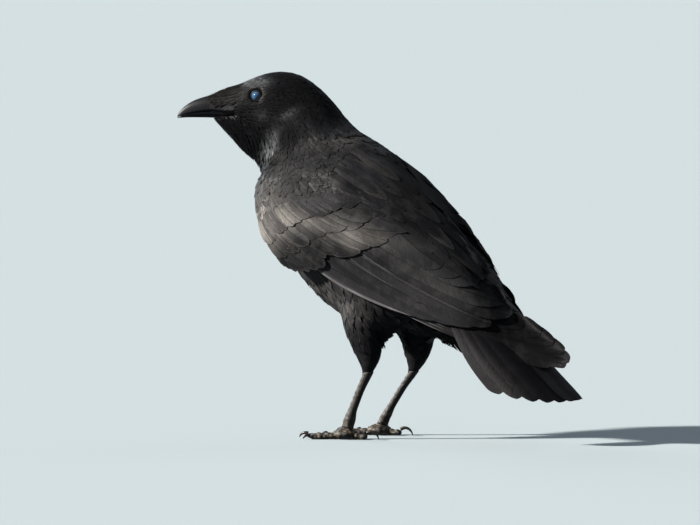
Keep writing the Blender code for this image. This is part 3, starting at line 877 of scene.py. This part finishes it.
def is_back(points):
    x, y, z = points.T
    high = (z > scapular_line(x)) & (x < 132 - 0.5 * np.abs(y))
    return high & ~above_collar(points) & ~is_front(points)


def is_shoulder(points):
    x, _, z = points.T
    return on_wing(points) & (z < scapular_line(x) + 7) & (z > lesser_line(x) - 4) & (x < 12)


def is_under(points):
    """Breast, belly and flanks, down to the line where the thighs come out."""
    x, _, z = points.T
    return (head_share(points) <= NECK) & (z < scapular_line(x) + 3) & (z > 98 - 0.25 * x)


def is_tuft(points):
    """Loose downy ends behind the thighs and at the vent."""
    x, y, z = points.T
    behind_thigh = (x > 0) & (x < 16) & (z > 99) & (z < 109) & (np.abs(y) < 40)
    return behind_thigh | ((x > 38) & (x < 66) & (z < 98) & (z > 86))


def is_thigh(points):
    inside = np.zeros(len(points), bool)
    for side in WINGS:
        low, high = (np.array(corner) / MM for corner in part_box("thigh_" + side))
        inside |= ((points > low - 2) & (points < high + 2)).all(1)
    return inside & (points[:, 2] < 103)


def ragged(roots, heading):
    """Heading, length, half-width and free tip of the tufts."""
    each = np.ones(len(roots))
    return unit(heading * 0.5 + np.array([0.35, 0, -1.0])), 17 * each, 1.8 * each, 3.0 * each


def leg_coat(roots, _):
    """The same for the short silky feathers that clothe the thigh down to the heel."""
    lower = rising(roots[:, 2], 98, -35)
    down = np.tile([0.12, 0, -1.0], (len(roots), 1))
    return unit(down), 13 - 6 * lower, 2.6 - 1.4 * lower, np.full(len(roots), 0.3)


coat("feathers_head", body_form, is_head, SMALL, 1, HEAD_LOOK)
coat("feathers_neck", back_form, is_neck, HACKLE, 2, HEAD_LOOK)
coat("feathers_back", back_form, is_back, CONTOUR, 3)
coat("feathers_shoulders", back_form, is_shoulder, SCALY, 6, WING_LOOK)
coat("feathers_underparts", hip_form, is_under, LOOSE, 4, drop=under_wing)
coat("feathers_tufts", leg_form, is_tuft, TUFT, 7, grow=0.5, styled=ragged)
coat("feathers_thighs", leg_form, is_thigh, CONTOUR, 5, grow=0.34, styled=leg_coat)


# ---- wings --------------------------------------------------------------------------
# The folded wing, from the deepest layer up: ten primaries, ten secondaries, then the
# greater, median and lesser coverts. Each is laid out on the side of the bird, x and z
# in millimetres, and takes its place across the bird from the wing's solids.
CROSSED = {"left": 0, "right": 14}      # how much shorter one wing is, where they cross
QUILL_THICK = 0.3
FLIGHT_ROWS = tuple(np.round(np.sin(np.linspace(0, 1, 27) * math.pi / 2), 4))
FLIGHT = dict(rows=FLIGHT_ROWS, cols=(-1, -0.72, -0.45, -0.2, -0.06, 0, 0.06, 0.25, 0.5, 0.75, 1),
              peak=0.3, shoulder=0.86, base=0.6, tip=0.15, round=0.8, camber=0.05, blunt=2.2,
              depth=1.5, fray=0.006, wave=0.03, ridge=0.12)
PRIMARY = dict(FLIGHT, shoulder=0.88, tip=0.3, blunt=2.8, round=0.5, far_web=0.55)
SECONDARY = dict(FLIGHT, far_web=0.75)
COVERT = dict(rows=(0, 0.3, 0.55, 0.72, 0.84, 0.93, 1), cols=(-1, -0.7, -0.35, 0, 0.35, 0.7, 1),
              peak=0.55, base=0.6, tip=0.2, round=0.9, camber=0.07, depth=0.8, blunt=2.4,
              fray=0.015, wave=0.05, ridge=0.05)
ALULA = dict(COVERT, tip=0.3, blunt=3.0, far_web=0.8)
SCAPULAR = dict(COVERT, rows=(0, 0.15, 0.3, 0.45, 0.6, 0.72, 0.83, 0.92, 1), tip=0.12,
                shoulder=0.45, blunt=1.9, depth=1.2)
# where the roots and the tips run, and the half-widths, all from the first feather to the last
PRIMARIES = dict(
    roots=((-38, 158), (-55, 160), (-72, 168)),
    tips=((96, 113), (116, 112), (132, 107), (152, 99), (168, 89), (180, 79), (182, 72), (166, 71)),
    half=((0, 0.6, 1), (11.0, 10.5, 7.5)),
)
SECONDARIES = dict(
    roots=((14, 204), (-4, 194), (-22, 182), (-42, 170), (-58, 162)),
    tips=((70, 156), (90, 147), (110, 134), (127, 113), (112, 105), (96, 106), (76, 110), (58, 115)),
    half=((0, 0.35, 1), (13.0, 12.0, 9.0)),
)
ALULAR = dict(
    roots=((-105, 204), (-97, 197), (-84, 190), (-74, 186)),
    tips=((-81, 153), (-69, 149), (-55, 150), (-38, 155)),
    half=((0, 1), (5.0, 11.0)),
)
SCAPULARS = dict(
    roots=((-36, 234), (-12, 227), (14, 214), (42, 192)),
    tips=((4, 213), (34, 198), (62, 182), (86, 163), (108, 142)),
    half=((0, 0.5, 1), (6.0, 8.0, 6.5)),
)
COVERT_ROWS = (
    # tips from wrist to elbow, heading down (degrees) and length there, half-width, count, level
    (((-60, 151), (-36, 162), (-6, 168), (22, 180), (52, 199)), (46, 12), (46, 42), 8.8, 12, 1.0),
    (((-80, 163), (-54, 174), (-28, 185), (0, 195), (30, 209)), (50, 10), (30, 28), 8.4, 12, 1.14),
    (((-92, 175), (-71, 189), (-47, 199), (-21, 207), (9, 217)), (54, 12), (24, 22), 7.0, 14, 1.26),
)
SCAPULAR_COUNTS = (11, 10, 9, 8)


class WingSheet:
    """How far out a wing's outer side lies over each place on the side of the bird."""

    STEP = 2.0
    LOW, HIGH = np.array([-130.0, 55.0]), np.array([200.0, 270.0])

    def __init__(self, side):
        self.sign = OUTWARD[side]
        xs, zs = (np.arange(self.LOW[k], self.HIGH[k], self.STEP) for k in (0, 1))
        field = np.full((len(xs), len(zs)), np.nan)
        for (i, x), (j, z) in product(enumerate(xs), enumerate(zs)):
            hit = COVERS[side].ray_cast((x, self.sign * 150, z), (0, -self.sign, 0))[0]
            if hit is not None:
                field[i, j] = hit[1] * self.sign
        known = ~np.isnan(field)
        field[~known] = field[known].mean()
        for _ in range(240):
            field = np.where(known, field, self.evened(field))
        for _ in range(6):
            field = 0.5 * field + 0.5 * self.evened(field)
        self.field = field
        self.slope = np.gradient(field, self.STEP)

    @staticmethod
    def evened(field):
        wide = np.pad(field, 1, mode="edge")
        return (wide[2:, 1:-1] + wide[:-2, 1:-1] + wide[1:-1, 2:] + wide[1:-1, :-2]) / 4

    def read(self, grid, x, z):
        i = np.clip((x - self.LOW[0]) / self.STEP, 0, grid.shape[0] - 1.001)
        j = np.clip((z - self.LOW[1]) / self.STEP, 0, grid.shape[1] - 1.001)
        a, b = i.astype(int), j.astype(int)
        s, t = i - a, j - b
        near = grid[a, b] * (1 - s) + grid[a + 1, b] * s
        far = grid[a, b + 1] * (1 - s) + grid[a + 1, b + 1] * s
        return near * (1 - t) + far * t

    def place(self, x, z, above):
        """Points in space, above the wing's side, and the way out there."""
        out = self.read(self.field, x, z)
        lean_x, lean_z = (self.read(slope, x, z) for slope in self.slope)
        outward = unit(np.stack([-lean_x, np.full_like(x, 1.0), -lean_z], axis=-1))
        spot = np.stack([x, out, z], axis=-1) + outward * above[..., None]
        spot[..., 1] *= self.sign
        outward[..., 1] *= self.sign
        return spot, outward


SHEETS = {side: WingSheet(side) for side in WINGS}


def lay_on_wing(side, roots, tips, bow, grid, tilt, rng, thick):
    """A batch of vanes along arcs on the side of the bird. Tilt lifts the lower web."""
    across, along, above = grid
    chord = tips - roots
    length = np.linalg.norm(chord, axis=1)
    ahead = chord / length[:, None]
    lower = np.stack([ahead[:, 1], -ahead[:, 0]], axis=1)
    share = along / per_feather(length)
    arc = 4 * per_feather(bow) * share * (1 - share)
    turn = 4 * per_feather(bow) * (1 - 2 * share) / per_feather(length)
    ahead, lower = per_feather(ahead), per_feather(lower)
    middle = per_feather(roots) + ahead * along[..., None] + lower * arc[..., None]
    flat = middle + unit(lower - ahead * turn[..., None]) * across[..., None]
    laid = SHEETS[side].place(flat[..., 0], flat[..., 1], above + tilt * across)
    return Batch(*laid, across, along, rng.uniform(0, 1, len(roots)), thick)


def curve_through(points, shares):
    """Smooth reading of a few given points, at shares from 0 to 1."""
    points = np.array(points, float)
    last = len(points) - 1
    place = np.clip(np.asarray(shares) * last, 0, last - 1e-6)
    first = place.astype(int)
    t = (place - first)[:, None]
    a = points[np.maximum(first - 1, 0)]
    b, c = points[first], points[np.minimum(first + 1, last)]
    d = points[np.minimum(first + 2, last)]
    return 0.5 * (2 * b + (c - a) * t + (2 * a - 5 * b + 4 * c - d) * t**2
                  + (3 * b - a - 3 * c + d) * t**3)


def flight_batch(side, fan, shares, bow, shape, level, step, tilt, seed, shorter=0):
    """A fan of quills. Level is the height of the first, and each next lies a step lower."""
    rng = np.random.default_rng(seed)
    roots, tips = (curve_through(fan[end], shares) for end in ("roots", "tips"))
    tips = tips - shorter * unit(tips - roots)
    half = np.interp(shares, *fan["half"])
    across, along, above = vane_grid(np.linalg.norm(tips - roots, axis=1), half, shape, rng)
    grid = across, along, above + per_feather(level - step * np.arange(len(shares)))
    return lay_on_wing(side, roots, tips, bow, grid, tilt, rng, QUILL_THICK)


def primary_quills(side):
    """Ten long primaries, from the innermost to the outermost."""
    batch = flight_batch(side, PRIMARIES, np.linspace(0, 1, 10), np.linspace(4, 7, 10), PRIMARY,
                         -0.9, 0.2, 0.025, 21, shorter=CROSSED[side])
    x = batch.places[..., 0]
    # The extra paleness round x -15 and the pale rims, which fade out towards the wing tip, are
    # partly worn edges and partly painted highlight along the sunlit lower edge of the wing.
    batch = batch._replace(tone=0.4 * batch.tone, extra=0.22 * bell(x, -15, 32),
                           rim=1 - 0.5 * rising(x, 60, 50))
    return feather_mesh(f"wing_{side}_primary_quills", [batch], TIP_LOOK)


def secondary_quills(side):
    """Ten secondaries, from the innermost tertial, which lies on top, to the outermost."""
    shares = np.linspace(0, 1, 10)
    shares = shares + 0.025 * np.sin(2.5 * np.arange(10)) * np.sin(np.pi * shares)
    batch = flight_batch(side, SECONDARIES, shares, np.linspace(3, 6, 10), SECONDARY,
                         0.9, 0.16, 0.085, 22)
    x, _, z = np.moveaxis(batch.places, -1, 0)
    # Pale rims and the extra paleness low in front are partly worn edges and partly painted
    # highlight where the sun catches the lower edges; the rims fade towards the back.
    lit = np.random.default_rng(27).uniform(0.3, 1, (10, 1, 1))
    lit = lit + 0.35 * per_feather(rising(shares * 2, 0.8, 1))
    batch = batch._replace(extra=0.12 * bell(x, -30, 24) * bell(z, 150, 12),
                           rim=lit * np.clip((84 - x) / 60, 0.12, 1))
    feather_mesh(f"wing_{side}_quills", [batch], QUILL_LOOK)


def coverts(side):
    batches = []
    for number, (tip_line, heading, length, half, count, level) in enumerate(COVERT_ROWS):
        rng = np.random.default_rng(40 + number)
        shares = (np.arange(count) + rng.uniform(-0.2, 0.2, count)) / (count - 1)
        shares = np.clip(shares, 0, 1)
        tips = curve_through(tip_line, shares) + rng.normal(0, 0.24 * half, (count, 2))
        slant = np.radians(heading[0] + (heading[1] - heading[0]) * shares**0.8)
        slant += rng.normal(0, 0.055, count)
        reach = length[0] + (length[1] - length[0]) * shares
        reach = reach * rng.uniform(0.95, 1.06, count)
        roots = tips - np.stack([np.cos(slant), -np.sin(slant)], axis=1) * reach[:, None]
        halves = half * rng.uniform(0.88, 1.15, count)
        across, along, above = vane_grid(reach, halves, COVERT, rng)
        above = above * min(1, half / 8) + level + per_feather(rng.uniform(-0.1, 0.1, count))
        drape = per_feather(0.25 + 0.6 * (number == 0) * (1 - shares))
        above = above - drape * np.array(COVERT["rows"])[None, :, None] ** 2
        grid = across, along, above
        batches.append(lay_on_wing(side, roots, tips, reach * 0.05, grid, 0.035, rng, 0.12))
    # the alula and the primary coverts lie along the leading edge, below the rest
    alula = flight_batch(side, ALULAR, np.linspace(0, 1, 7), np.full(7, 3.0), ALULA,
                         0.1, -0.06, 0.05, 60)
    batches.append(alula._replace(fade=0.25))
    feather_mesh(f"wing_{side}_coverts", batches, WING_LOOK)


def scapulars(side):
    """Long glossy shoulder feathers, which cover the upper edge of the folded wing."""
    rng = np.random.default_rng(23)
    sign = OUTWARD[side]
    row = np.repeat(np.arange(4), SCAPULAR_COUNTS)
    shares = np.concatenate([
        np.linspace(0.03 * number, 1 - 0.02 * number, count)
        for number, count in enumerate(SCAPULAR_COUNTS)
    ])
    count = len(row)
    roots, tips = (curve_through(SCAPULARS[end], shares) for end in ("roots", "tips"))
    length = np.linalg.norm(tips - roots, axis=1) * rng.uniform(0.93, 1.05, count)
    starts = []
    for x, z in (roots + np.array([0.35, 0.94]) * row[:, None] * 8.0).tolist():
        hit = back_form.tree.ray_cast((x, sign * 150, z), (0, -sign, 0))[0]
        starts.append(hit or back_form.tree.find_nearest((x, sign * 8, z))[0])
    slope = unit(tips - roots)
    heading = np.stack([slope[:, 0], np.zeros(count), slope[:, 1]], axis=1)
    half = np.interp(shares, *SCAPULARS["half"])
    across, along, above = vane_grid(length, half, SCAPULAR, rng)
    above = above + per_feather(1.5 + 0.3 * row - 0.5 * shares + 0.06 * (np.arange(count) % 2))
    grid = across, along, above
    batch = lay_on_form(back_form, np.array(starts), heading, grid, rng, 0.15, straighten=0.97)
    # Some are frosted paler at random, partly as painted glints on the shoulder.
    batch = batch._replace(extra=0.2 * rng.uniform(0, 1, (count, 1, 1)) ** 2)
    feather_mesh(f"wing_{side}_scapulars", [batch], BODY_LOOK)


for side in WINGS:
    quills = primary_quills(side)
    secondary_quills(side)
    coverts(side)
    scapulars(side)
    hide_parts(*WINGS[side])


# ---- tail ---------------------------------------------------------------------------
# Twelve tail feathers on an arch, fanned a little. The middle pair lies on top, and each
# next one out lies under its neighbour, so that its outer web shows.
TAIL_ROOT = np.array([53.1, 1.0, 160.4])
TAIL_LENGTH = 185
TAIL_PITCH, TAIL_SWING, TAIL_ROLL = math.radians(41), math.radians(10), math.radians(3)
TAIL_ARCH = 48
TAIL_HALF = (12, 54)            # half-width round the arch, at the root and spread
TAIL_SPREAD_OVER = 130
TAIL_COUNT, TAIL_FEATHER_HALF = 12, 12.5
OUTER_WEB, INNER_WEB = 0.78, 1.12
TAIL_FEATHER = dict(FLIGHT, peak=0.75, shoulder=0.92, base=0.3, tip=0.5, round=0.35, camber=0.03,
                    depth=0.5)


def tail_axes():
    swung = Matrix.Rotation(-TAIL_SWING, 3, "Z")
    down_tail = swung @ Vector((math.cos(TAIL_PITCH), 0, -math.sin(TAIL_PITCH)))
    right = Matrix.Rotation(TAIL_ROLL, 3, down_tail) @ swung @ Vector((0, 1, 0))
    return (np.array(v) for v in (down_tail, right, down_tail.cross(right)))


def tail_quills():
    rng = np.random.default_rng(70)
    down_tail, right, up = tail_axes()
    place = np.arange(TAIL_COUNT) - (TAIL_COUNT - 1) / 2
    lane = place / 6
    outer = np.abs(lane)
    length = TAIL_LENGTH * (1 - 0.28 * outer**2.1) - 1
    half = np.full(TAIL_COUNT, TAIL_FEATHER_HALF)
    across, along, above = vane_grid(length, half, TAIL_FEATHER, rng)
    outwards = per_feather(np.sign(lane))
    across = across * np.where(across * outwards > 0, OUTER_WEB, INNER_WEB)
    outer_side = across * outwards
    spread = np.sin(np.pi / 2 * np.minimum(1, along / TAIL_SPREAD_OVER))
    reach = TAIL_HALF[0] + (TAIL_HALF[1] - TAIL_HALF[0]) * spread
    angle = (per_feather(lane) * reach + across) / TAIL_ARCH
    above = above - 0.45 * per_feather(np.floor(np.abs(place))) + 0.1 * outer_side + 0.2
    outward = right * np.sin(angle)[..., None] + up * np.cos(angle)[..., None]
    places = TAIL_ROOT + down_tail * along[..., None] - up * TAIL_ARCH
    places = places + outward * (TAIL_ARCH + above)[..., None]
    # The outer feathers' outer webs are paler towards the edge and dark next to the shaft: partly
    # frosted wear, partly painted light on the lit edges and painted shade beside the overlapping
    # neighbour.
    frost_and_sheen = per_feather(rising(outer, 0.3, 0.5)) * np.clip(1.3 - along / 170, 0.2, 1)
    frost_and_sheen = 0.3 * frost_and_sheen * np.clip(outer_side / 5.5 - 0.7, 0.02, 1) ** 1.3
    dim_tip = 1 - 0.25 * rising(along / per_feather(length), 0.85, 0.15)
    tone = rng.uniform(0.2, 1, TAIL_COUNT)
    batch = Batch(places, outward, outer_side, along, tone, 0.35, 0.0, frost_and_sheen, dim_tip)
    piece = feather_mesh("tail_quills", [batch], TAIL_LOOK)
    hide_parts("tail")


tail_quills()


# ---- bill ---------------------------------------------------------------------------
# Dark horn, smooth and slightly arched, with cutting edges that meet in a long line.
# It runs back under the feathers of the face to the corner of the mouth.
BILL_BACK = HEAD_TURNED @ Vector((1, 0, 0))
BILL_ASIDE = HEAD_TURNED @ Vector((0, 1, 0))
# how far each length of horn runs back under the feathers, how much it widens, how much
# its ridge and its cutting edge rise, in millimetres
BILL_STEPS = {
    "upper": ((6, 1.2, 0.6, 0.9), (8, 1.24, 0.4, 0.6), (9, 1.17, 0.0, -1.2), (6, 0.96, -0.6, -1.6)),
    "lower": ((6, 1.28, -0.6, 0.9), (8, 1.32, -0.5, 0.6), (9, 1.2, 0.2, -1.2), (6, 0.9, 0.8, -1.6)),
}
TIP_DROP, TIP_REACH = 1.3 * MM, 16 * MM     # the tip bends down a little
FLAKY_HORN = (0.055, 0.053, 0.052)


def horn_look(name, colour, roughness, grain):
    made, shader = new_finish(name, Specular_IOR_Level=0.22)
    w = Wiring(made.node_tree)
    place = w.place()
    mapped = w.node("ShaderNodeMapping")
    w.put(mapped.inputs["Vector"], place)
    mapped.inputs["Scale"].default_value = (1, 1, 3.2)
    fibre = w.noise(mapped.outputs["Vector"], grain, 5, 0.6)
    base = w.blend(w.noise(place, grain / 8, 2), colour, tuple(1.9 * c for c in colour))
    flaky = w.times(w.mark("gape"), w.ramp(w.noise(place, 420, 4, 0.65), 0.42, 0.6))
    w.put(shader.inputs["Base Color"], w.blend(flaky, base, FLAKY_HORN))
    w.put(shader.inputs["Roughness"], w.plus(roughness, w.times(fibre, 0.16)))
    w.relief(shader, fibre, 0.25, 0.0003)
    return made


BILL_HORN = horn_look("bill_horn", (0.0055, 0.006, 0.008), 0.3, 900)
CLAW_HORN = horn_look("claw_horn", (0.014, 0.013, 0.013), 0.18, 1400)


def rounded(name, node, look, hard, reshape=None):
    """A solid's own shape, rounded, with the edges over so many degrees kept hard."""
    piece = merged_copy(name, [node])
    bm = bmesh.new()
    bm.from_mesh(piece.data)
    bmesh.ops.dissolve_limit(bm, angle_limit=math.radians(0.5), verts=bm.verts, edges=bm.edges)
    if reshape:
        reshape(bm)
    crease = bm.edges.layers.float.new("crease_edge")
    for edge in bm.edges:
        if edge.is_manifold and edge.calc_face_angle() > math.radians(hard):
            edge[crease] = 0.9
    bm.to_mesh(piece.data)
    bm.free()
    modifier(piece, "SUBSURF", levels=2, render_levels=2)
    apply_all(piece)
    piece.data.shade_smooth()
    piece.data.materials.append(look)
    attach(piece, "root")
    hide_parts(node)
    return piece


def run_under_feathers(bm):
    """Bends the tip, and runs the horn back from the feather edge to the mouth's corner."""
    front = min(vertex.co.dot(BILL_BACK) for vertex in bm.verts)
    for vertex in bm.verts:
        near = max(0, 1 - (vertex.co.dot(BILL_BACK) - front) / TIP_REACH)
        vertex.co.z -= TIP_DROP * near**2
    end = min(bm.faces, key=lambda face: -face.calc_center_median().dot(BILL_BACK))
    heights = sorted(vertex.co.z for vertex in end.verts)
    is_upper = heights[2] - heights[0] < 0.1 * MM
    for run, widen, ridge, edge_up in BILL_STEPS["upper" if is_upper else "lower"]:
        end = bmesh.ops.extrude_discrete_faces(bm, faces=[end])["faces"][0]
        middle = end.calc_center_median()
        heights = sorted(vertex.co.z for vertex in end.verts)
        for vertex in end.verts:
            aside = (vertex.co - middle).dot(BILL_ASIDE)
            share = (vertex.co.z - heights[0]) / (heights[-1] - heights[0])
            rise = edge_up + (ridge - edge_up) * (share if is_upper else 1 - share)
            vertex.co += BILL_BACK * run * MM + BILL_ASIDE * aside * (widen - 1)
            vertex.co.z += rise * MM


for part in ("upper", "lower"):
    horn = rounded("bill_" + part + "_horn", "bill_" + part, BILL_HORN, 42,
                   run_under_feathers)
    ahead, _, height = to_head(numbers(horn.data.vertices, "co") / MM).T
    mark_points(horn.data, "gape", rising(ahead, -161, 8) * bell(height, 288.5, 4.5))


# ---- nasal bristles -----------------------------------------------------------------
# Stiff narrow feathers that spring from beside the forehead and lie forwards over the
# basal half of the bill on both sides, where they hide the nostrils.
BRISTLE_COUNT = 900
BRISTLE = dict(rows=(0, 0.35, 0.7, 1), cols=(-1, 0, 1), peak=0.3, base=0.7, tip=0.1, round=0.2,
               camber=0.2, depth=0.9, lift=0.15, fray=0.1, wave=0.12)
BRISTLE_LOOK = plumage("bristle_plumage", (0.0045, 0.0044, 0.0046), (0.02, 0.02, 0.02),
                       (0.012, 0.011, 0.011), 0.1, 0.5, 0.12, 0.1, 0.2)
NOSTRIL_ROOTS = (-162, 26)      # where the foremost of them spring, and over what length


def bristles():
    rng = np.random.default_rng(80)
    count = BRISTLE_COUNT
    back = rng.uniform(0, 1, count) ** 0.8
    x = NOSTRIL_ROOTS[0] + NOSTRIL_ROOTS[1] * back
    low = 295.5 + 2.5 * back
    ridge = np.interp(x, (-167, -155, -143, -134), (303, 308, 312, 315))
    up = rng.uniform(0, 1, count)
    sign = rng.choice([-1, 1], count)
    aside = sign * 9.5 * np.sqrt(1 - 0.98 * up**2)
    roots = turned_level(np.stack([x, aside, low + (ridge - low) * up], axis=1), HEAD_TURN)
    ahead = np.stack([-np.ones(count), sign * 0.06, -0.10 - 0.3 * rng.uniform(0, 1, count)], axis=1)
    heading = unit(ahead @ np.array(HEAD_TURNED).T)
    front = 163.5 + 8 * up + rng.normal(0, 1.3, count)
    length = np.minimum(rng.uniform(10, 17, count), np.maximum(4, x + front))
    half = rng.uniform(0.35, 0.7, count)
    across, along, above = vane_grid(length, half, BRISTLE, rng)
    grid = across, along, above + per_feather(rng.uniform(0, 0.7, count))
    batch = lay_on_form(bill_form, roots, heading, grid, rng, 0.12, straighten=1)
    feather_mesh("nasal_bristles", [batch], BRISTLE_LOOK)


bristles()


# ---- inside of the mouth ------------------------------------------------------------
# The dark moist lining of both halves of the bill. It lies just inside the horn, and
# closes the long line between the two.
LINING_DEPTH = 0.9 * MM

lining = melted("mouth_lining", ["bill_upper", "bill_lower"], 0.6 * MM, 2)
lie = numbers(lining.data.vertex_normals, "vector")
move_points(lining.data, numbers(lining.data.vertices, "co") - lie * LINING_DEPTH)
lining.data.shade_smooth()
lining.data.materials.append(horn_look("mouth_lining", (0.01, 0.009, 0.009), 0.5, 600))
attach(lining, "root")


# ---- claws --------------------------------------------------------------------------
# Glossy black horn, curved and tapering: a sheath over the last bone of each toe, which
# comes out of the scaly skin.
TOES = range(1, 5)

for side, number in product(WINGS, TOES):
    rounded(f"claw_{side}_{number}_horn", f"claw_{side}_{number}", CLAW_HORN, 50)


# ---- legs and feet ------------------------------------------------------------------
# Bare shanks and toes in black-grey horny skin, with broad plates down the front and
# along the tops of the toes, and small round scales on the pads.
LEG_VOXEL = 0.7 * MM
SHANK_START = 13                # the heights and lengths here are in millimetres
SHANK_PLATE, TOE_PLATE = 5.2, 2.7


def scaled_skin():
    made, shader = new_finish("scaled_skin")
    w = Wiring(made.node_tree)
    place = w.place()
    cells = w.node("ShaderNodeTexVoronoi", feature="DISTANCE_TO_EDGE")
    w.put(cells.inputs["Vector"], place)
    cells.inputs["Scale"].default_value = 900
    crack = w.ramp(cells.outputs["Distance"], 0.0, 0.12)
    mottle = w.noise(place, 160, 4, 0.6)
    base = w.blend(w.ramp(mottle, 0.35, 0.65), (0.010, 0.0095, 0.009), (0.034, 0.028, 0.022))
    low = w.rest(w.ramp(w.parts(place)["Z"], 0.016, 0.028))
    tan = w.times(low, w.ramp(w.noise(place, 210, 3, 0.6), 0.5, 0.62))
    base = w.blend(tan, base, (0.15, 0.115, 0.065))
    pale = w.times(w.mark("plate"), w.ramp(mottle, 0.3, 0.6))
    base = w.blend(pale, base, (0.1, 0.095, 0.088))
    w.put(shader.inputs["Base Color"], w.blend(w.rest(crack), base, (0.005, 0.004, 0.004)))
    w.put(shader.inputs["Roughness"], w.plus(0.34, w.times(mottle, 0.25)))
    w.relief(shader, crack, 0.5, 0.0003)
    return made


LEG_SKIN = scaled_skin()


def leg_skin(side):
    nodes = ["tarsus_" + side] + [f"toe_{side}_{number}" for number in TOES]
    piece = melted(f"leg_{side}_skin", nodes, LEG_VOXEL, 3)
    mesh = piece.data
    spots = numbers(mesh.vertices, "co") / MM
    lie = numbers(mesh.vertex_normals, "vector")
    x, y, z = spots.T
    low, high = (np.array(corner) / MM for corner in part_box("tarsus_" + side))
    on_shank = rising(z, SHANK_START, 5)
    level = np.clip(1 - np.abs(lie[:, 2]), 0, 1)
    # broad plates, each raised at its lower or inner edge
    front = np.clip(-lie[:, 0] * 1.6 + 0.2, 0, 1)
    plate = (z / SHANK_PLATE) % 1
    out = on_shank * front * (0.34 * (1 - plate) ** 1.5 - 0.1)
    away = np.linalg.norm(spots[:, :2] - [low[0] + 12, (low[1] + high[1]) / 2], axis=1)
    toe_plate = (away / TOE_PLATE) % 1
    upper = np.clip(lie[:, 2] * 1.6, 0, 1)
    out += (1 - on_shank) * upper * (0.3 * (1 - toe_plate) ** 1.3 - 0.08)
    # the shank widens towards the toes, the pads are lumpy, and the heel is slim
    out += 2.6 * rising(z, 27, -15) ** 1.3 * bell(away, 0, 12) * level
    lumps = np.sin(x * 0.9 + 1.3 * np.sin(y * 0.7)) * np.sin(y * 0.95)
    stout = np.interp(z, (14, 26, 44, 60), (1.9, 1.3, 1.0, 0.5))
    out += (1 - on_shank) * 0.45 * lumps + stout * on_shank * level
    spots += lie * (out - OVERLAP / MM)[:, None]
    spots[:, 0] -= 1.4 * np.interp(spots[:, 2], (12, 24, 42, 58), (0, 1, 1, 0))
    spots[:, 2] = np.maximum(spots[:, 2], 0.0)
    move_points(mesh, spots * MM)
    mesh.update()
    mark_points(mesh, "plate", on_shank * front * (0.4 + 0.6 * plate))
    mesh.shade_smooth()
    mesh.materials.append(LEG_SKIN)
    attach(piece, "root")
    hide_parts(*nodes)


for side in WINGS:
    leg_skin(side)


# ---- eyes ---------------------------------------------------------------------------
# A dark brown eye, over which the pale blue third eyelid is drawn. The ball sits deep in
# the head, and a ring of bare dark lid hugs it.
EYE_RADIUS = 6.0 * MM
LID_HOLE, LID_THICK = 4.9 * MM, 0.85 * MM       # the opening between the lids, and their rim
CORNEA_SPAN, CORNEA_RISE = 0.62, 0.55 * MM
DARK_EYE = (0.012, 0.009, 0.008)


def eye_look():
    made, shader = new_finish("eye_film", Roughness=0.08, Coat_Weight=1.0, Coat_Roughness=0.03)
    w = Wiring(made.node_tree)
    film = w.blend(w.noise(w.place(), 700, 4, 0.6), (0.026, 0.075, 0.165), (0.062, 0.14, 0.26))
    w.put(shader.inputs["Base Color"], w.blend(w.mark("drawn"), DARK_EYE, film))
    return made


def lid_look():
    made, shader = new_finish("eyelid", Roughness=0.5, Specular_IOR_Level=0.25)
    w = Wiring(made.node_tree)
    grain = w.noise(w.place(), 1800, 3)
    dark = w.blend(grain, (0.004, 0.004, 0.0045), (0.014, 0.013, 0.013))
    w.put(shader.inputs["Base Color"], dark)
    w.relief(shader, grain, 0.5, 0.0002)
    return made


def eye_middle(side):
    low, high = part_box("eye_" + side)
    return (low + high) / 2


def set_in_head(piece, side, look):
    """Carries a piece modelled at the origin to the eye, in its mesh. It faces out of the
    head and a little forwards."""
    facing = HEAD_TURNED @ Vector((-0.22, OUTWARD[side], 0.05)).normalized()
    turned = facing.to_track_quat("Z", "Y").to_matrix().to_4x4()
    piece.data.transform(Matrix.Translation(eye_middle(side)) @ turned)
    piece.matrix_world = Matrix.Identity(4)
    piece.data.shade_smooth()
    piece.data.materials.append(look)
    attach(piece, "root")


def eyeball(side):
    bpy.ops.object.select_all(action="DESELECT")
    bpy.ops.mesh.primitive_uv_sphere_add(segments=48, ring_count=32, radius=EYE_RADIUS)
    ball = bpy.context.object
    ball.name = f"eye_{side}_ball"
    x, y, z = numbers(ball.data.vertices, "co").T / EYE_RADIUS
    off = np.hypot(x, y)
    bulge = CORNEA_RISE / EYE_RADIUS * np.clip(1 - (off / CORNEA_SPAN) ** 2, 0, 1) * (z > 0)
    move_points(ball.data, np.stack([x, y, z + bulge], axis=1) * EYE_RADIUS)
    # the film leaves the back of the eye free; towards the back and downwards it fades into the dark
    # eye, which paints shade on the lower, rear side of the ball
    drawn = rising(-y, 0.62, -0.14) * (z > 0) * (off < LID_HOLE / EYE_RADIUS)
    set_in_head(ball, side, EYE_FILM)
    low_behind = np.array(HEAD_TURNED @ Vector((0.75, 0, -0.66)))
    spots = numbers(ball.data.vertices, "co") - np.array(eye_middle(side))
    thin = rising(spots @ low_behind / EYE_RADIUS, 0, 0.55)
    mark_points(ball.data, "drawn", drawn * (1 - 0.6 * thin))
    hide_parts("eye_" + side)


def lids(side):
    """A rim of bare skin that hugs the ball, a little almond-shaped."""
    bpy.ops.object.select_all(action="DESELECT")
    bpy.ops.mesh.primitive_torus_add(
        major_radius=LID_HOLE, minor_radius=LID_THICK, major_segments=56, minor_segments=14
    )
    rim = bpy.context.object
    rim.name = f"eye_{side}_lids"
    for vertex in rim.data.vertices:
        x, y, z = vertex.co
        hug = (EYE_RADIUS + 0.1 * MM) ** 2 - x**2 - y**2
        vertex.co = (x, y * 0.97, z + math.sqrt(max(0, hug)))
    set_in_head(rim, side, LID)


EYE_FILM, LID = eye_look(), lid_look()
for side in WINGS:
    eyeball(side)
    lids(side)
